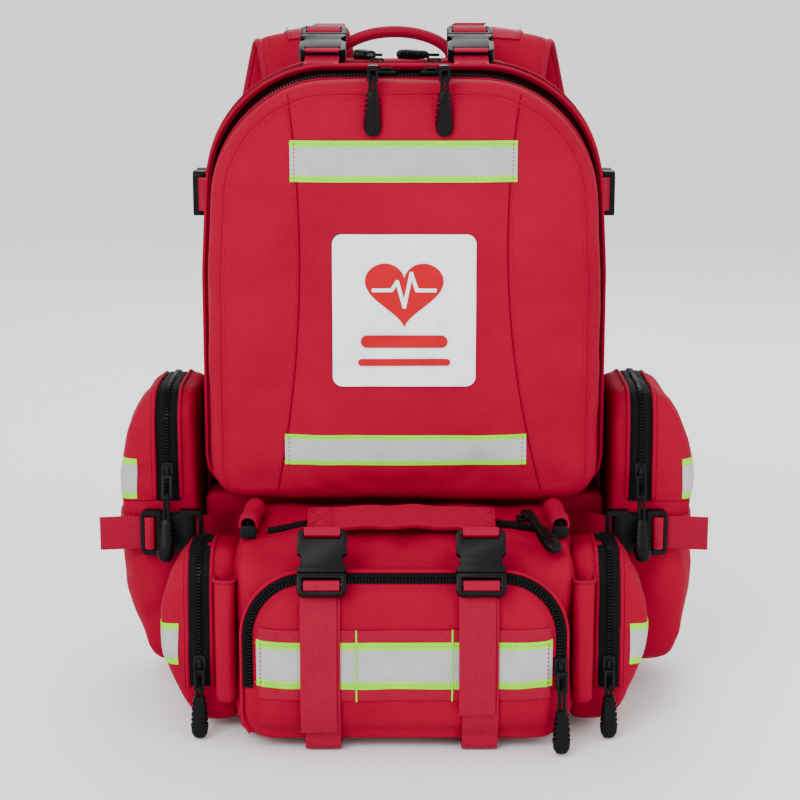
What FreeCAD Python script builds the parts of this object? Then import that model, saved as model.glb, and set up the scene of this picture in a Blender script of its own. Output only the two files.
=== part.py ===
"""Trauma backpack: a clamshell main pack, two side pouches and a waist pack strapped to its front.

Millimetres. +Z is up and the pack stands on z = 0. -Y is the front, which faces away from the wearer.
"""
import FreeCAD
import Part
import math
import os
from FreeCAD import Placement, Rotation
from FreeCAD import Vector as V

# ---- driving dimensions -------------------------------------------------------------------------
WEB = 25.0              # width of all load webbing
WEB_T = 1.6             # its thickness
WALL = 3.0              # padded fabric wall of the bags
GAP = 0.4               # clearance between bodies that move apart

HALF_W = 150.0          # main pack, half width
TOP = 472.0             # main pack, top of the rear compartment
TOP_R = 85.0            # radius of its shoulders
TAPER = 8.0             # how far its sides lean in at the top
TAPER_FROM = 322.0      # height where they start to
TAPER_R = 300.0
FOOT_R = 24.0           # radius of its lower corners
BACK_Y = 80.0           # wearer's side of the rear compartment
MAIN_Y = -18.0          # front edge of the rear compartment, at the main zip
BASE_Y = -50.0          # front of the fixed base behind the waist pack
BASE_TOP = 152.0
FLAP_Y = (-63.0, -29.0)  # main flap, front and rear edges
LID_Y = (-100.0, -74.0)  # front lid, front and rear edges
FLAP_FOOT = 164.0       # lower edge of both
FLAP_TOP = 470.0
LID_TOP = 461.0
FLAP_HALF = 146.0        # the flap and the lid are a little narrower than the rear compartment
LID_HALF = 141.0

PAD_T = 9.7             # back pad
SHEET_T = 2.0           # stiffener sheet

STRAP_W = 70.0          # padded shoulder strap
STRAP_T = 12.0
# side view of the left strap's centreline: x, y, z
STRAP_PATH = [
    (-72, 97.5, 425), (-76, 99.5, 463), (-80, 108, 487), (-84, 122, 494), (-88, 136, 482), (-95, 143, 448),
    (-108, 139, 385), (-111, 126, 305), (-104, 115, 225), (-96, 109, 155), (-92, 107, 108),
]

POUCH_IN = 153.4        # side pouch, face against the main pack
POUCH_Z = (23.0, 234.0)
POUCH_Y = (-65.0, 40.0)
POUCH_ZIP_X = (167.0, 185.0)
POUCH_ZIP_END = 150.0
POUCH_STRAP_Z = 128.0

WAIST_BACK = -52.0      # waist pack, face against the base
WAIST_FRONT = -171.0
WAIST_HALF = 117.0
POCKET_FRONT = -192.0   # front pocket of the waist pack
POCKET_HALF = 113.0
POCKET_TOP = 130.0
SIDE_POCKET = (117.4, 173.0)
WAIST_STRAP_X = (-56.5, 52.5)

TOP_BUCKLE_X = (-60.0, 49.0)
TOP_BUCKLE_FOOT = V(0, -30.0, 476.5)
TOP_BUCKLE_SLOPE = 23.0
SIDE_STRAP_Z = 373.0
SIDE_STANDOFF = 6.2     # upper compression buckles, from the side of the pack to their middle

# side-release buckle for WEB webbing, drawn with its strap along Z and its mouth at z = 0
BUCKLE_W = 34.0
BUCKLE_T = 9.0
SOCKET_L = 30.0
SOCKET_DEPTH = 19.0
LATCH_L = 16.0
LATCH_TRAVEL = 24.0

os.makedirs("parts", exist_ok=True)


# ---- drawing helpers ----------------------------------------------------------------------------
def on_plane(u, v, axis, at):
    """The point (u, v) of the plane across an axis: u, v are y, z across x, x, z across y and x, y across z."""
    if axis == "x":
        return V(at, u, v)
    if axis == "y":
        return V(u, at, v)
    return V(u, v, at)


def rounded_wire(points, radii, axis="y", at=0.0):
    """A closed polygon whose corners are rounded to the given radii."""
    pts = [on_plane(u, v, axis, at) for u, v in points]
    n = len(pts)
    if not isinstance(radii, (list, tuple)):
        radii = [radii] * n
    starts, ends, mids = [], [], []
    for i in range(n):
        p, a, b = pts[i], pts[i - 1], pts[(i + 1) % n]
        da, db = (a - p).normalize(), (b - p).normalize()
        half = da.getAngle(db) / 2
        r = radii[i]
        if r <= 0 or half > math.pi / 2 - 1e-4:
            starts.append(p)
            ends.append(p)
            mids.append(None)
            continue
        reach = r / math.tan(half)
        starts.append(p + da * reach)
        ends.append(p + db * reach)
        mids.append(p + (da + db).normalize() * (r / math.sin(half) - r))
    edges = []
    for i in range(n):
        if mids[i] is not None:
            edges.append(Part.Arc(starts[i], mids[i], ends[i]).toShape())
        j = (i + 1) % n
        if (starts[j] - ends[i]).Length > 1e-4:
            edges.append(Part.LineSegment(ends[i], starts[j]).toShape())
    return Part.Wire(Part.__sortEdges__(edges))


def prism(points, radii, axis, low, high, inset=0.0):
    """A rounded polygon extruded along an axis from low to high, drawn in by inset."""
    wire = rounded_wire(points, radii, axis, low)
    if inset:
        wire = wire.makeOffset2D(-inset)
    way = {"x": V(1, 0, 0), "y": V(0, 1, 0), "z": V(0, 0, 1)}[axis]
    return Part.Face(wire).extrude(way * (high - low))


def box(x, y, z):
    """A block from its (low, high) along each axis."""
    return Part.makeBox(x[1] - x[0], y[1] - y[0], z[1] - z[0], V(x[0], y[0], z[0]))


def arch(half, low, high, low_r, high_r):
    """Points and radii of an upright panel with rounded shoulders."""
    return [(-half, low), (half, low), (half, high), (-half, high)], [low_r, low_r, high_r, high_r]


def pack_arch(half, low, high, low_r, high_r, inset=0.0):
    """The same, drawn in towards the top above TAPER_FROM, as the main pack is, and by inset all round."""
    half, low, high = half - inset, low + inset, high - inset
    low_r, high_r = low_r - inset, high_r - inset
    top = half - TAPER
    points = [(-half, low), (half, low), (half, TAPER_FROM), (top, high), (-top, high), (-half, TAPER_FROM)]
    return points, [low_r, low_r, TAPER_R, high_r, high_r, TAPER_R]


def tray(half, low, high, low_r, high_r, y, open_front):
    """A hollow box of arched outline, open on one side."""
    points, radii = pack_arch(half, low, high, low_r, high_r)
    outer = prism(points, radii, "y", y[0], y[1])
    inner_y = (y[0] - 1, y[1] - WALL) if open_front else (y[0] + WALL, y[1] + 1)
    points, radii = pack_arch(half, low, high, low_r, high_r, WALL)
    return outer.cut(prism(points, radii, "y", inner_y[0], inner_y[1]))


def arch_ring(half, low, high, high_r, depth, y, above):
    """A strip that follows an arched outline, above a height."""
    points, radii = pack_arch(half, low, high, FOOT_R, high_r)
    ring = prism(points, radii, "y", y[0], y[1])
    points, radii = pack_arch(half, low, high, FOOT_R, high_r, depth)
    ring = ring.cut(prism(points, radii, "y", y[0] - 1, y[1] + 1))
    return ring.common(box((-half - 5, half + 5), (y[0] - 2, y[1] + 2), (above, high + 5)))


def mirror(shape):
    return shape.mirror(V(0, 0, 0), V(1, 0, 0))


def both(shape):
    """A shape and its mirror image across the pack's middle."""
    return [shape, mirror(shape)]


def placed(shape, at, turns=()):
    """A copy turned about each (axis, degrees) in order, then moved."""
    rotation = Rotation()
    for axis, degrees in turns:
        rotation = Rotation(axis, degrees).multiply(rotation)
    copy = shape.copy()
    copy.Placement = Placement(at, rotation).multiply(shape.Placement)
    return copy


def save(name, *shapes):
    """Writes one node as separate solids."""
    solids = [s for shape in shapes for s in shape.Solids]
    for s in solids:
        if not s.isValid():
            print("invalid solid in", name)
    shape = solids[0] if len(solids) == 1 else Part.makeCompound(solids)
    shape.exportStep(f"parts/{name}.step")


# ---- buckles ------------------------------------------------------------------------------------
SLOT_W = WEB + 1.6
SLOT_H = 3.6


def buckle_socket():
    """The female half, below z = 0: a box with a cavity, two side windows and a webbing bar."""
    half = BUCKLE_W / 2
    body = prism([(-half, -SOCKET_L), (half, -SOCKET_L), (half, 0), (-half, 0)], [4, 4, 2.5, 2.5], "y",
                 -BUCKLE_T / 2, BUCKLE_T / 2)
    body = body.cut(box((-15.4, 15.4), (-2.9, 2.9), (-SOCKET_DEPTH, 1)))
    for side in (-1, 1):
        window = Part.makeCylinder(5.2, BUCKLE_T + 2, V(side * (half + 1.5), -BUCKLE_T / 2 - 1, -8.5), V(0, 1, 0))
        body = body.cut(window)
    bar_slot = box((-SLOT_W / 2, SLOT_W / 2), (-BUCKLE_T, BUCKLE_T), (-SOCKET_L + 3.0, -SOCKET_L + 3.0 + SLOT_H))
    return body.cut(bar_slot)


def buckle_latch():
    """The male half, above z = 0: two sprung arms and a guide, on a base with two webbing slots."""
    half = BUCKLE_W / 2
    base = prism([(-half, 0.6), (half, 0.6), (half, LATCH_L), (-half, LATCH_L)], [2, 2, 5, 5], "y",
                 -BUCKLE_T / 2, BUCKLE_T / 2)
    slot_z = 0.6 + 3.2
    for z in (slot_z, slot_z + SLOT_H + 2.4):
        base = base.cut(box((-SLOT_W / 2, SLOT_W / 2), (-BUCKLE_T, BUCKLE_T), (z, z + SLOT_H)))
    guide = box((-2.0, 2.0), (-2.3, 2.3), (-15.5, 1.2))
    latch = base.fuse(guide)
    for side in (-1, 1):
        arm = prism([(side * 8.6, 1.2), (side * 12.2, 1.2), (side * 12.8, -6.0), (side * 14.9, -7.5),
                     (side * 14.6, -11.0), (side * 9.6, -16.0), (side * 8.4, -15.0)], 0, "y", -2.3, 2.3)
        latch = latch.fuse(arm)
    return latch.removeSplitter()


SOCKET = buckle_socket()
LATCH = buckle_latch()
SIDE_TURNS = [(V(1, 0, 0), -90), (V(0, 1, 0), 90)]
SIDE_MOUTH = V(-HALF_W - SIDE_STANDOFF, 36, SIDE_STRAP_Z)
SIDE_SOCKET = placed(SOCKET, SIDE_MOUTH, SIDE_TURNS)


# ---- zip sliders and pulls ----------------------------------------------------------------------
SLIDER_L, SLIDER_W, SLIDER_H = 15.0, 9.0, 4.6
GRIP_L, GRIP_W, GRIP_T = 31.0, 12.5, 8.0
CORD_D = 2.8


def slider():
    """A zip slider lying on a chain that runs along Z, its top towards -Y: a tapered body with a bail."""
    w, l = SLIDER_W / 2, SLIDER_L / 2
    body = prism([(-w * 0.75, -l), (w * 0.75, -l), (w, -l * 0.1), (w, l), (-w, l), (-w, -l * 0.1)],
                 [1.2, 1.2, 1, 1.2, 1.2, 1], "y", -2.2, 0)
    bail = prism([(-2.2, -5.2), (-SLIDER_H, -5.2), (-SLIDER_H, 5.2), (-2.2, 5.2)], [0, 1.4, 1.4, 0], "x", -1.3, 1.3)
    hole = prism([(-1.6, -3.4), (-3.3, -3.4), (-3.3, 3.4), (-1.6, 3.4)], [0, 0.8, 0.8, 0], "x", -2, 2)
    return body.fuse(bail).cut(hole).removeSplitter()


def grip():
    """The moulded end of a pull, hanging from z = 0: wider at the foot, with finger notches."""
    h, w = GRIP_L, GRIP_W / 2
    body = prism([(-w * 0.66, 0), (w * 0.66, 0), (w, -h * 0.78), (w * 0.8, -h), (-w * 0.8, -h), (-w, -h * 0.78)],
                 [1.5, 1.5, 4, 3, 3, 4], "y", -GRIP_T / 2, GRIP_T / 2)
    for step in range(4):
        z = -4.5 - 4.6 * step
        for side in (-1, 1):
            x = side * (w * 0.66 + (w * 0.34) * (-z) / (h * 0.78))
            body = body.cut(box(sorted((x + side, x - side * 2.3)), (-GRIP_T, GRIP_T), (z - 1.0, z + 1.0)))
    return body


GRIP = grip()


def pull(tab_l, cord_l, lean=0.0):
    """A tab, a doubled cord and a grip hanging down from the bail at the origin; lean tips it forward."""
    tab = prism([(-3.4, 1.6), (3.4, 1.6), (4.2, -tab_l), (-4.2, -tab_l)], [1.6, 1.6, 2.2, 2.2], "y", -1.1, 1.1)
    eye = box((-2.3, 2.3), (-2, 2), (-tab_l + 1.6, -tab_l + 5.0))
    cord = box((-CORD_D, CORD_D), (-CORD_D / 2, CORD_D / 2), (-tab_l - cord_l, -tab_l))
    end = placed(GRIP, V(0, 0, -tab_l - cord_l))
    whole = Part.makeCompound([tab.cut(eye), cord, end])
    return placed(whole, V(0, 0, 0), [(V(1, 0, 0), lean)])


# ---- main pack ----------------------------------------------------------------------------------
def main_pack():
    points, radii = pack_arch(HALF_W, 0, TOP, FOOT_R, TOP_R)
    base_points, base_radii = arch(HALF_W, 0, BASE_TOP, FOOT_R, 6)
    outer = prism(points, radii, "y", MAIN_Y, BACK_Y).fuse(prism(base_points, base_radii, "y", BASE_Y, MAIN_Y))
    points, radii = pack_arch(HALF_W, 0, TOP, FOOT_R, TOP_R, WALL)
    room = prism(points, radii, "y", MAIN_Y - 1, BACK_Y - WALL)
    base_room = prism(base_points, base_radii, "y", BASE_Y + WALL, MAIN_Y + 1, WALL)
    save("main_shell", outer.cut(room).cut(base_room).removeSplitter())

    points, radii = arch(126, 52, 432, 30, 46)
    save("back_pad", prism(points, radii, "y", BACK_Y + 0.1, BACK_Y + 0.1 + PAD_T))
    points, radii = arch(118, 12, 440, 20, 46)
    save("frame_sheet", prism(points, radii, "y", BACK_Y - WALL - 0.2 - SHEET_T, BACK_Y - WALL - 0.2))
    shelf = prism([(-142, 0), (142, 0), (142, 82), (-142, 82)], 8, "z", 206, 211)
    shelf.translate(V(0, -12, 0))
    save("inner_divider", shelf)


def shoulder_strap():
    """A padded strap lofted through square sections along STRAP_PATH, on the left side."""
    sections = []
    for i, (x, y, z) in enumerate(STRAP_PATH):
        before, after = STRAP_PATH[max(i - 1, 0)], STRAP_PATH[min(i + 1, len(STRAP_PATH) - 1)]
        along = V(0, after[1] - before[1], after[2] - before[2]).normalize()
        across = V(1, 0, 0)
        out = along.cross(across)
        centre = V(x, y, z)
        corners = [centre + across * (STRAP_W / 2 * a) + out * (STRAP_T / 2 * b)
                   for a, b in ((-1, -1), (1, -1), (1, 1), (-1, 1))]
        sections.append(Part.makePolygon(corners + corners[:1]))
    return Part.makeLoft(sections, True, True)


def straps():
    left = shoulder_strap()
    save("shoulder_strap_left", left)
    save("shoulder_strap_right", mirror(left))

    end = STRAP_PATH[-1]
    foot_y, foot_z = end[1], end[2] - STRAP_T
    lock = box((end[0] - 17, end[0] + 17), (foot_y - 4, foot_y + 4), (foot_z - 22, foot_z))
    for z in (foot_z - 17.5, foot_z - 8.5):
        lock = lock.cut(box((end[0] - SLOT_W / 2, end[0] + SLOT_W / 2), (foot_y - 9, foot_y + 9), (z, z + 4.5)))
    save("strap_adjusters", *both(lock))

    # webbing from each adjuster down to the foot of the back
    y0, z0 = foot_y, foot_z - 22.4
    foot_in, foot_out = BACK_Y + 0.4, BACK_Y + 0.4 + WEB_T
    run = [(y0 - 1, z0), (foot_in, 26), (foot_in, 8), (foot_out, 8), (foot_out, 25), (y0 + 1, z0)]
    lower = prism(run, 0, "x", end[0] - WEB / 2, end[0] + WEB / 2)
    pieces = both(lower)

    # rows of webbing on both sides for pouches, and the front ends of the upper compression straps
    for z in (156.0, 194.0, 232.0, 270.0, 308.0):
        pieces += both(box((-HALF_W - WEB_T, -HALF_W), (2, 66), (z - WEB / 2, z + WEB / 2)))
    x = -HALF_W - SIDE_STANDOFF
    run = [(-HALF_W, -16), (-HALF_W, -2), (x + WEB_T / 2, 6), (x + WEB_T / 2, 9), (x - WEB_T / 2, 9),
           (x - WEB_T / 2, 5.4), (-HALF_W - WEB_T, -2), (-HALF_W - WEB_T, -16)]
    front_end = prism(run, 0, "z", SIDE_STRAP_Z - WEB / 2, SIDE_STRAP_Z + WEB / 2)
    pieces += both(front_end.cut(SIDE_SOCKET))

    # tabs under the feet of the haul handle, and rows on the front of the base
    for x in (HANDLE_X - HANDLE_SPAN, HANDLE_X + HANDLE_SPAN):
        pieces.append(box((x - 9, x + 9), (HANDLE_Y - 9, HANDLE_Y + 9), (TOP, TOP + 1.2)))
    for z in (45.0, 95.0):
        pieces.append(box((-120, 120), (BASE_Y - WEB_T, BASE_Y), (z - WEB / 2, z + WEB / 2)))
    save("pack_webbing", *pieces)


HANDLE_X = -7.0
HANDLE_Y = 70.0
HANDLE_SPAN = 43.0
HANDLE_Z = 478.5
HANDLE_RISE = 15.5
HANDLE_R = 4.6


def haul_handle():
    path = Part.Wire(Part.Arc(V(HANDLE_X - HANDLE_SPAN, HANDLE_Y, HANDLE_Z),
                              V(HANDLE_X, HANDLE_Y, HANDLE_Z + HANDLE_RISE),
                              V(HANDLE_X + HANDLE_SPAN, HANDLE_Y, HANDLE_Z)).toShape())
    tangent = path.Edges[0].tangentAt(path.Edges[0].FirstParameter)
    start = path.Edges[0].valueAt(path.Edges[0].FirstParameter)
    ring = Part.Wire(Part.Circle(start, tangent, HANDLE_R).toShape())
    save("haul_handle", path.makePipeShell([ring], True, False))


def flaps():
    save("main_flap", tray(FLAP_HALF, FLAP_FOOT, FLAP_TOP, FOOT_R, TOP_R - 2, FLAP_Y, open_front=True))
    lid = tray(LID_HALF, FLAP_FOOT, LID_TOP, FOOT_R, TOP_R - 4, LID_Y, open_front=False)
    rim = [e for e in lid.Edges if abs(e.BoundBox.YMin - LID_Y[0]) < 0.01 and abs(e.BoundBox.YMax - LID_Y[0]) < 0.01]
    save("front_lid", lid.makeFillet(WALL * 3.5, rim))
    save("main_zip", arch_ring(HALF_W - 1, FLAP_FOOT, TOP - 2, TOP_R - 2, 7, (MAIN_Y - 3.6, MAIN_Y - GAP), 172))
    save("front_zip", arch_ring(LID_HALF, FLAP_FOOT, LID_TOP + 3, TOP_R - 2, 7,
                                (LID_Y[1] + GAP, FLAP_Y[0] - 0.1), 200))

    face = LID_Y[0]
    bands = [box((-80.5, 79.5), (face - 1.2, face - 0.1), (390.5, 419.5)),
             box((-86, 88), (face - 1.2, face - 0.1), (187, 209))]
    save("lid_bands", *bands)
    points, radii = arch(51, 245, 354, 7, 7)
    save("patch", prism(points, radii, "y", face - 1.3, face - 0.1))


def top_buckles():
    """Each socket is sewn to the flap; its latch is on the load-lifting strap of a shoulder strap."""
    up = [(V(1, 0, 0), TOP_BUCKLE_SLOPE - 90)]
    slope = math.radians(TOP_BUCKLE_SLOPE)
    way = V(0, math.cos(slope), math.sin(slope))
    sockets = []
    for x, side in zip(TOP_BUCKLE_X, ("left", "right")):
        foot = V(x, TOP_BUCKLE_FOOT.y, TOP_BUCKLE_FOOT.z)
        mouth = foot + way * SOCKET_L
        socket = placed(SOCKET, mouth, up)
        bar = foot + way * 4.8
        tab = [(-60, FLAP_TOP + 0.1), (-40, FLAP_TOP + 0.1), (bar.y + 1, bar.z - 1.4), (bar.y + 1, bar.z + 0.2),
               (-40, FLAP_TOP + 2.5), (-60, FLAP_TOP + 1.7)]
        sockets += [socket, prism(tab, 0, "x", x - WEB / 2, x + WEB / 2).cut(socket)]
        save(f"top_latch_{side}", placed(LATCH, mouth, up))
        near = mouth + way * (LATCH_L + 0.3)
        run = [(near.y, near.z - 0.8), (103.0, 499.0), (122.0, 500.6), (122.0, 502.2), (103.0, 500.6),
               (near.y, near.z + 0.8)]
        save(f"top_strap_{side}", prism(run, 0, "x", x - WEB / 2, x + WEB / 2))
    save("top_sockets", *sockets)


def side_buckles():
    """Latches of the upper compression straps, each with the rear end of its strap."""
    latch = placed(LATCH, SIDE_MOUTH, SIDE_TURNS)
    x = SIDE_MOUTH.x
    y = SIDE_MOUTH.y + LATCH_L + 0.3
    run = [(x + WEB_T / 2, y), (x + WEB_T / 2, y + 4), (-HALF_W - 0.4, 68), (-HALF_W - 0.4, 78),
           (-HALF_W - 0.4 - WEB_T, 78), (-HALF_W - 0.4 - WEB_T, 68.4), (x - WEB_T / 2, y + 4.4), (x - WEB_T / 2, y)]
    rear_end = prism(run, 0, "z", SIDE_STRAP_Z - WEB / 2, SIDE_STRAP_Z + WEB / 2)
    save("side_latch_left", latch, rear_end)
    save("side_latch_right", mirror(latch), mirror(rear_end))


def main_sliders():
    """Sliders of the front zip with hanging pulls, and of the main zip with pulls that lie on the flap."""
    seat_z = LID_TOP + 3 + 0.5
    zip_y = (LID_Y[1] + FLAP_Y[0]) / 2
    flat = [(V(1, 0, 0), -90), (V(0, 0, 1), 90)]
    for x, side, name in ((-13.0, -1, "left"), (19.0, 1, "right")):
        save(f"front_slider_{name}", placed(slider(), V(x, zip_y, seat_z), flat))
        hang = placed(pull(7, 7), V(x + side * 9, LID_Y[0] - 7.0, seat_z + 3.0))
        bridge = box(sorted((x + side * 5.6, x + side * 12.4)), (LID_Y[0] - 8.1, zip_y + 1.2),
                     (seat_z + 4.8, seat_z + 6.8))
        save(f"front_pull_{name}", bridge, hang)
    for x, turn, name in ((-20.0, 20, "left"), (22.0, 35, "right")):
        y = (MAIN_Y + FLAP_Y[1]) / 2
        lying = placed(pull(11, 2), V(x, y + 2, TOP + 5.4), [(V(1, 0, 0), 90), (V(0, 0, 1), turn)])
        save(f"main_slider_{name}", placed(slider(), V(x, y, TOP - 1.4), flat), lying)


# ---- side pouches -------------------------------------------------------------------------------
def pouch_outline():
    z0, z1 = POUCH_Z
    return ([(-POUCH_IN, z0), (-188, z0), (-207, 75), (-219, 128), (-222, 168), (-213, 205), (-193, z1),
             (-POUCH_IN, z1)], [3, 14, 60, 60, 40, 40, 16, 3])


def pouch_profile():
    (y0, y1), (z0, z1) = POUCH_Y, POUCH_Z
    return [(y0, z0), (y1, z0), (y1, z1), (y0, z1)], [10, 10, 24, 24]


def pouches():
    front, front_r = pouch_outline()
    profile, profile_r = pouch_profile()
    y0, y1 = POUCH_Y

    def body(inset):
        return prism(front, front_r, "y", y0 - 2, y1 + 2, inset).common(
            prism(profile, profile_r, "x", -240, -140, inset))

    # the zip opens the outer side down to a fold at the height where it ends
    zip_x = (-POUCH_ZIP_X[1], -POUCH_ZIP_X[0])
    slot = box((zip_x[0] - 0.1, zip_x[1] + 0.1), (y0 - 5, y1 + 5), (POUCH_ZIP_END, POUCH_Z[1] + 5))
    walls = body(0).cut(body(WALL)).cut(slot)
    outside = box((-240, zip_x[0]), (y0 - 5, y1 + 5), (POUCH_ZIP_END, POUCH_Z[1] + 5))
    tub = walls.cut(outside)
    cover = walls.common(box((-240, zip_x[0]), (y0 - 5, y1 + 5), (POUCH_ZIP_END + GAP, POUCH_Z[1] + 5)))
    tape = prism(profile, profile_r, "x", zip_x[0], zip_x[1]).cut(
        prism(profile, profile_r, "x", zip_x[0] - 1, zip_x[1] + 1, WALL - 0.6))
    tape = tape.common(slot)
    band = body(-1.1).cut(body(-0.1)).common(box((-240, -206), (y0 + 2, y1 - 2), (152, 182)))

    # strap round the pouch, open where the buckle sits, with its inner end on the main pack
    z = (POUCH_STRAP_Z - WEB / 2, POUCH_STRAP_Z + WEB / 2)
    strap = body(-0.2 - WEB_T).cut(body(-0.2)).common(box((-240, -POUCH_IN - 4), (y0 - 9, y1 + 9), z))
    strap = strap.cut(box((-200, -140), (y0 - 9, y0 + 4), (0, 300)))
    buckle_y = y0 - 0.6 - BUCKLE_T / 2 - WEB_T
    near, far = buckle_y + WEB_T / 2, buckle_y - WEB_T / 2
    base_near, base_far = BASE_Y - 0.3, BASE_Y - 0.3 - WEB_T
    inner_end = prism([(-154.6, near), (-146.8, near), (-126.8, base_near), (-118.5, base_near),
                       (-118.5, base_far), (-126, base_far), (-146, far), (-154.6, far)], 0, "z", *z)
    tail = prism([(-197, buckle_y - 0.8), (-197, buckle_y + 0.8), (-210, buckle_y - 2.6), (-226, buckle_y - 4.6),
                  (-226, buckle_y - 6.2), (-210, buckle_y - 4.2)], 0, "z", *z)
    turns = [(V(0, 1, 0), -90)]
    mouth = V(-180.0, buckle_y, POUCH_STRAP_Z)
    latch = placed(LATCH, mouth, turns)
    socket = placed(SOCKET, mouth, turns)

    zip_mid = (zip_x[0] + zip_x[1]) / 2
    at = V(zip_mid, y0 - 0.3, POUCH_ZIP_END + 22)
    slide = placed(slider(), at)
    hang = placed(pull(15, 16, -18), V(zip_mid, at.y - SLIDER_H - 2.0, at.z - 3))
    save("pouch_left", tub)
    save("pouch_right", mirror(tub))
    save("pouch_zips", *both(tape))
    save("pouch_straps", *both(strap), *both(inner_end.cut(socket)))
    for name, shapes in (("pouch_cover", [cover]), ("pouch_band", [band]), ("pouch_latch", [latch, tail]),
                         ("pouch_slider", [slide]), ("pouch_pull", [hang])):
        save(name + "_left", *shapes)
        save(name + "_right", *[mirror(shape) for shape in shapes])
    return socket


# ---- waist pack ---------------------------------------------------------------------------------
def waist_profile():
    return ([(WAIST_BACK, 2), (WAIST_FRONT, 2), (WAIST_FRONT, 126), (-158, 138), (-112, 148), (WAIST_BACK, 150)],
            [4, 12, 10, 14, 30, 10])


def waist_solid(inset):
    points, radii = waist_profile()
    front, front_r = arch(WAIST_HALF, 2, 152, 12, 14)
    return prism(points, radii, "x", -WAIST_HALF - 2, WAIST_HALF + 2, inset).common(
        prism(front, front_r, "y", WAIST_FRONT - 2, WAIST_BACK + 2, inset))


def waist_body():
    slot = box((-96, 98), (-122, -112), (120, 170))
    save("waist_shell", waist_solid(0).cut(waist_solid(WALL)).cut(slot))
    top_zip = waist_solid(0).cut(waist_solid(WALL - 0.8)).common(box((-95.8, 97.8), (-121.8, -112.2), (120, 170)))

    # front pocket: a gusset, a ring of zip tape, and a face that stands inside the ring
    points, radii = arch(POCKET_HALF, 8, POCKET_TOP, 18, 46)
    y0, y1 = POCKET_FRONT, WAIST_FRONT - 0.1
    ring_y = (y0 + 6.0, y0 + 9.0)
    gusset = prism(points, radii, "y", ring_y[1] + 0.1, y1).cut(prism(points, radii, "y", ring_y[1] - 1, y1 + 1, WALL))
    face = prism(points, radii, "y", y0, y0 + 8.8, 10.0)
    face = face.makeFillet(4.0, [e for e in face.Edges if abs(e.BoundBox.YMax - y0) < 0.01])
    ring = prism(points, radii, "y", ring_y[0], ring_y[1]).cut(prism(points, radii, "y", y0 - 1, ring_y[1] + 1, 9.9))
    ring = ring.common(box((-130, 130), (-220, -150), (46, 140)))

    # side pockets: a deeper body with a slot down its front and over its top for the zip
    x0, x1 = SIDE_POCKET
    outline = [(x0, 5), (x1 - 24, 5), (x1, 60), (x1 - 1, 100), (x1 - 16, 132), (x0, 134)]
    outline_r = [2, 20, 40, 40, 18, 2]
    profile = [(-84, 5), (-148, 5), (-152, 60), (-148, 122), (-128, 136), (-84, 136)]
    profile_r = [4, 14, 60, 30, 16, 20]

    def pocket(inset):
        return prism(outline, outline_r, "y", -160, -80, inset).common(
            prism(profile, profile_r, "x", x0 - 2, x1 + 2, inset))

    zip_x = (x0 + 20, x0 + 36)
    side_slot = box((zip_x[0] - 0.1, zip_x[1] + 0.1), (-160, -90), (34, 150))
    side = pocket(0).cut(pocket(WALL)).cut(side_slot)
    strip = prism(profile, profile_r, "x", zip_x[0], zip_x[1]).cut(
        prism(profile, profile_r, "x", zip_x[0] - 1, zip_x[1] + 1, WALL - 0.6))
    strip = strip.common(box(zip_x, (-160, -90.2), (34.2, 150))).common(pocket(0))
    band = pocket(-1.1).cut(pocket(-0.1)).common(box((x1 - 14, x1 + 5), (-144, -90), (52, 82)))

    # narrow sleeves for pens or shears beside the front pocket
    sleeve = prism([(x0 + 1, -153), (x0 + 1, -170), (x0 + 16, -165), (x0 + 16, -153)], [0, 5, 5, 0], "z", 28, 118)
    sleeve = sleeve.cut(prism([(x0 + 3, -154), (x0 + 3, -168), (x0 + 14, -163.4), (x0 + 14, -154)],
                              [0, 4, 4, 0], "z", 30, 119))
    save("waist_pockets", gusset, face, *both(side))
    save("waist_sleeves", *both(sleeve))
    save("waist_zips", top_zip, ring, *both(strip))

    face_y = POCKET_FRONT
    rows = [box((-100, 100), (face_y - 1.5, face_y - 0.1), z) for z in ((42, 49.5), (83.5, 92))]
    tape = box((-102, 102), (face_y - 1.5, face_y - 0.1), (49.7, 83.3))
    save("waist_bands", tape, *both(band))
    return rows


def waist_straps(rows):
    """Two straps from the handle's ends over the front and under the pack, and loops at the top corners."""
    y = POCKET_FRONT - 1.8
    pieces = list(rows)
    for x, tail_end in zip(WAIST_STRAP_X, (19.0, 32.0)):
        x_span = (x - WEB / 2, x + WEB / 2)
        front = [(y, 1.6), (y, 112), (y - WEB_T, 112), (y - WEB_T, 0), (WAIST_BACK, 0), (WAIST_BACK, 1.6)]
        pieces.append(prism(front, 0, "x", *x_span))
        pieces.append(box((x_span[0] - 3, x_span[1] - 3), (y - 2 * WEB_T - 0.4, y - WEB_T - 0.2), (tail_end, 104)))
        upper = [(-124, 146.8), (-152, 140.4), (-175.6, 152.2), (-175.6, 153.8), (-152, 142.1), (-124, 148.5)]
        pieces.append(prism(upper, 0, "x", *x_span).cut(waist_solid(-0.1)).cut(waist_buckle(SOCKET, x)))
    # loops of webbing rolled round at the top corners, and the hooks that hang in them
    start, end = V(-108, -102, 154.6), V(-111, -135, 149.8)
    way = end - start
    loop = Part.makeCylinder(7.0, way.Length, start, way).cut(
        Part.makeCylinder(5.4, way.Length + 2, start - way * 0.02, way)).cut(waist_solid(-0.1))
    save("waist_straps", *pieces, *both(loop))
    pin = Part.makeCylinder(2.2, way.Length - 12, start + way * 0.3, way)
    hook = prism([(-117, 151), (-104, 151), (-106, 137), (-115, 137)], [4, 4, 3, 3], "y", -141.5, -137.6)
    save("waist_hooks", *both(pin.fuse(hook).cut(waist_solid(-0.1))))


WAIST_HANDLE_Y = -134.0
WAIST_HANDLE_Z = 150.5


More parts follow.
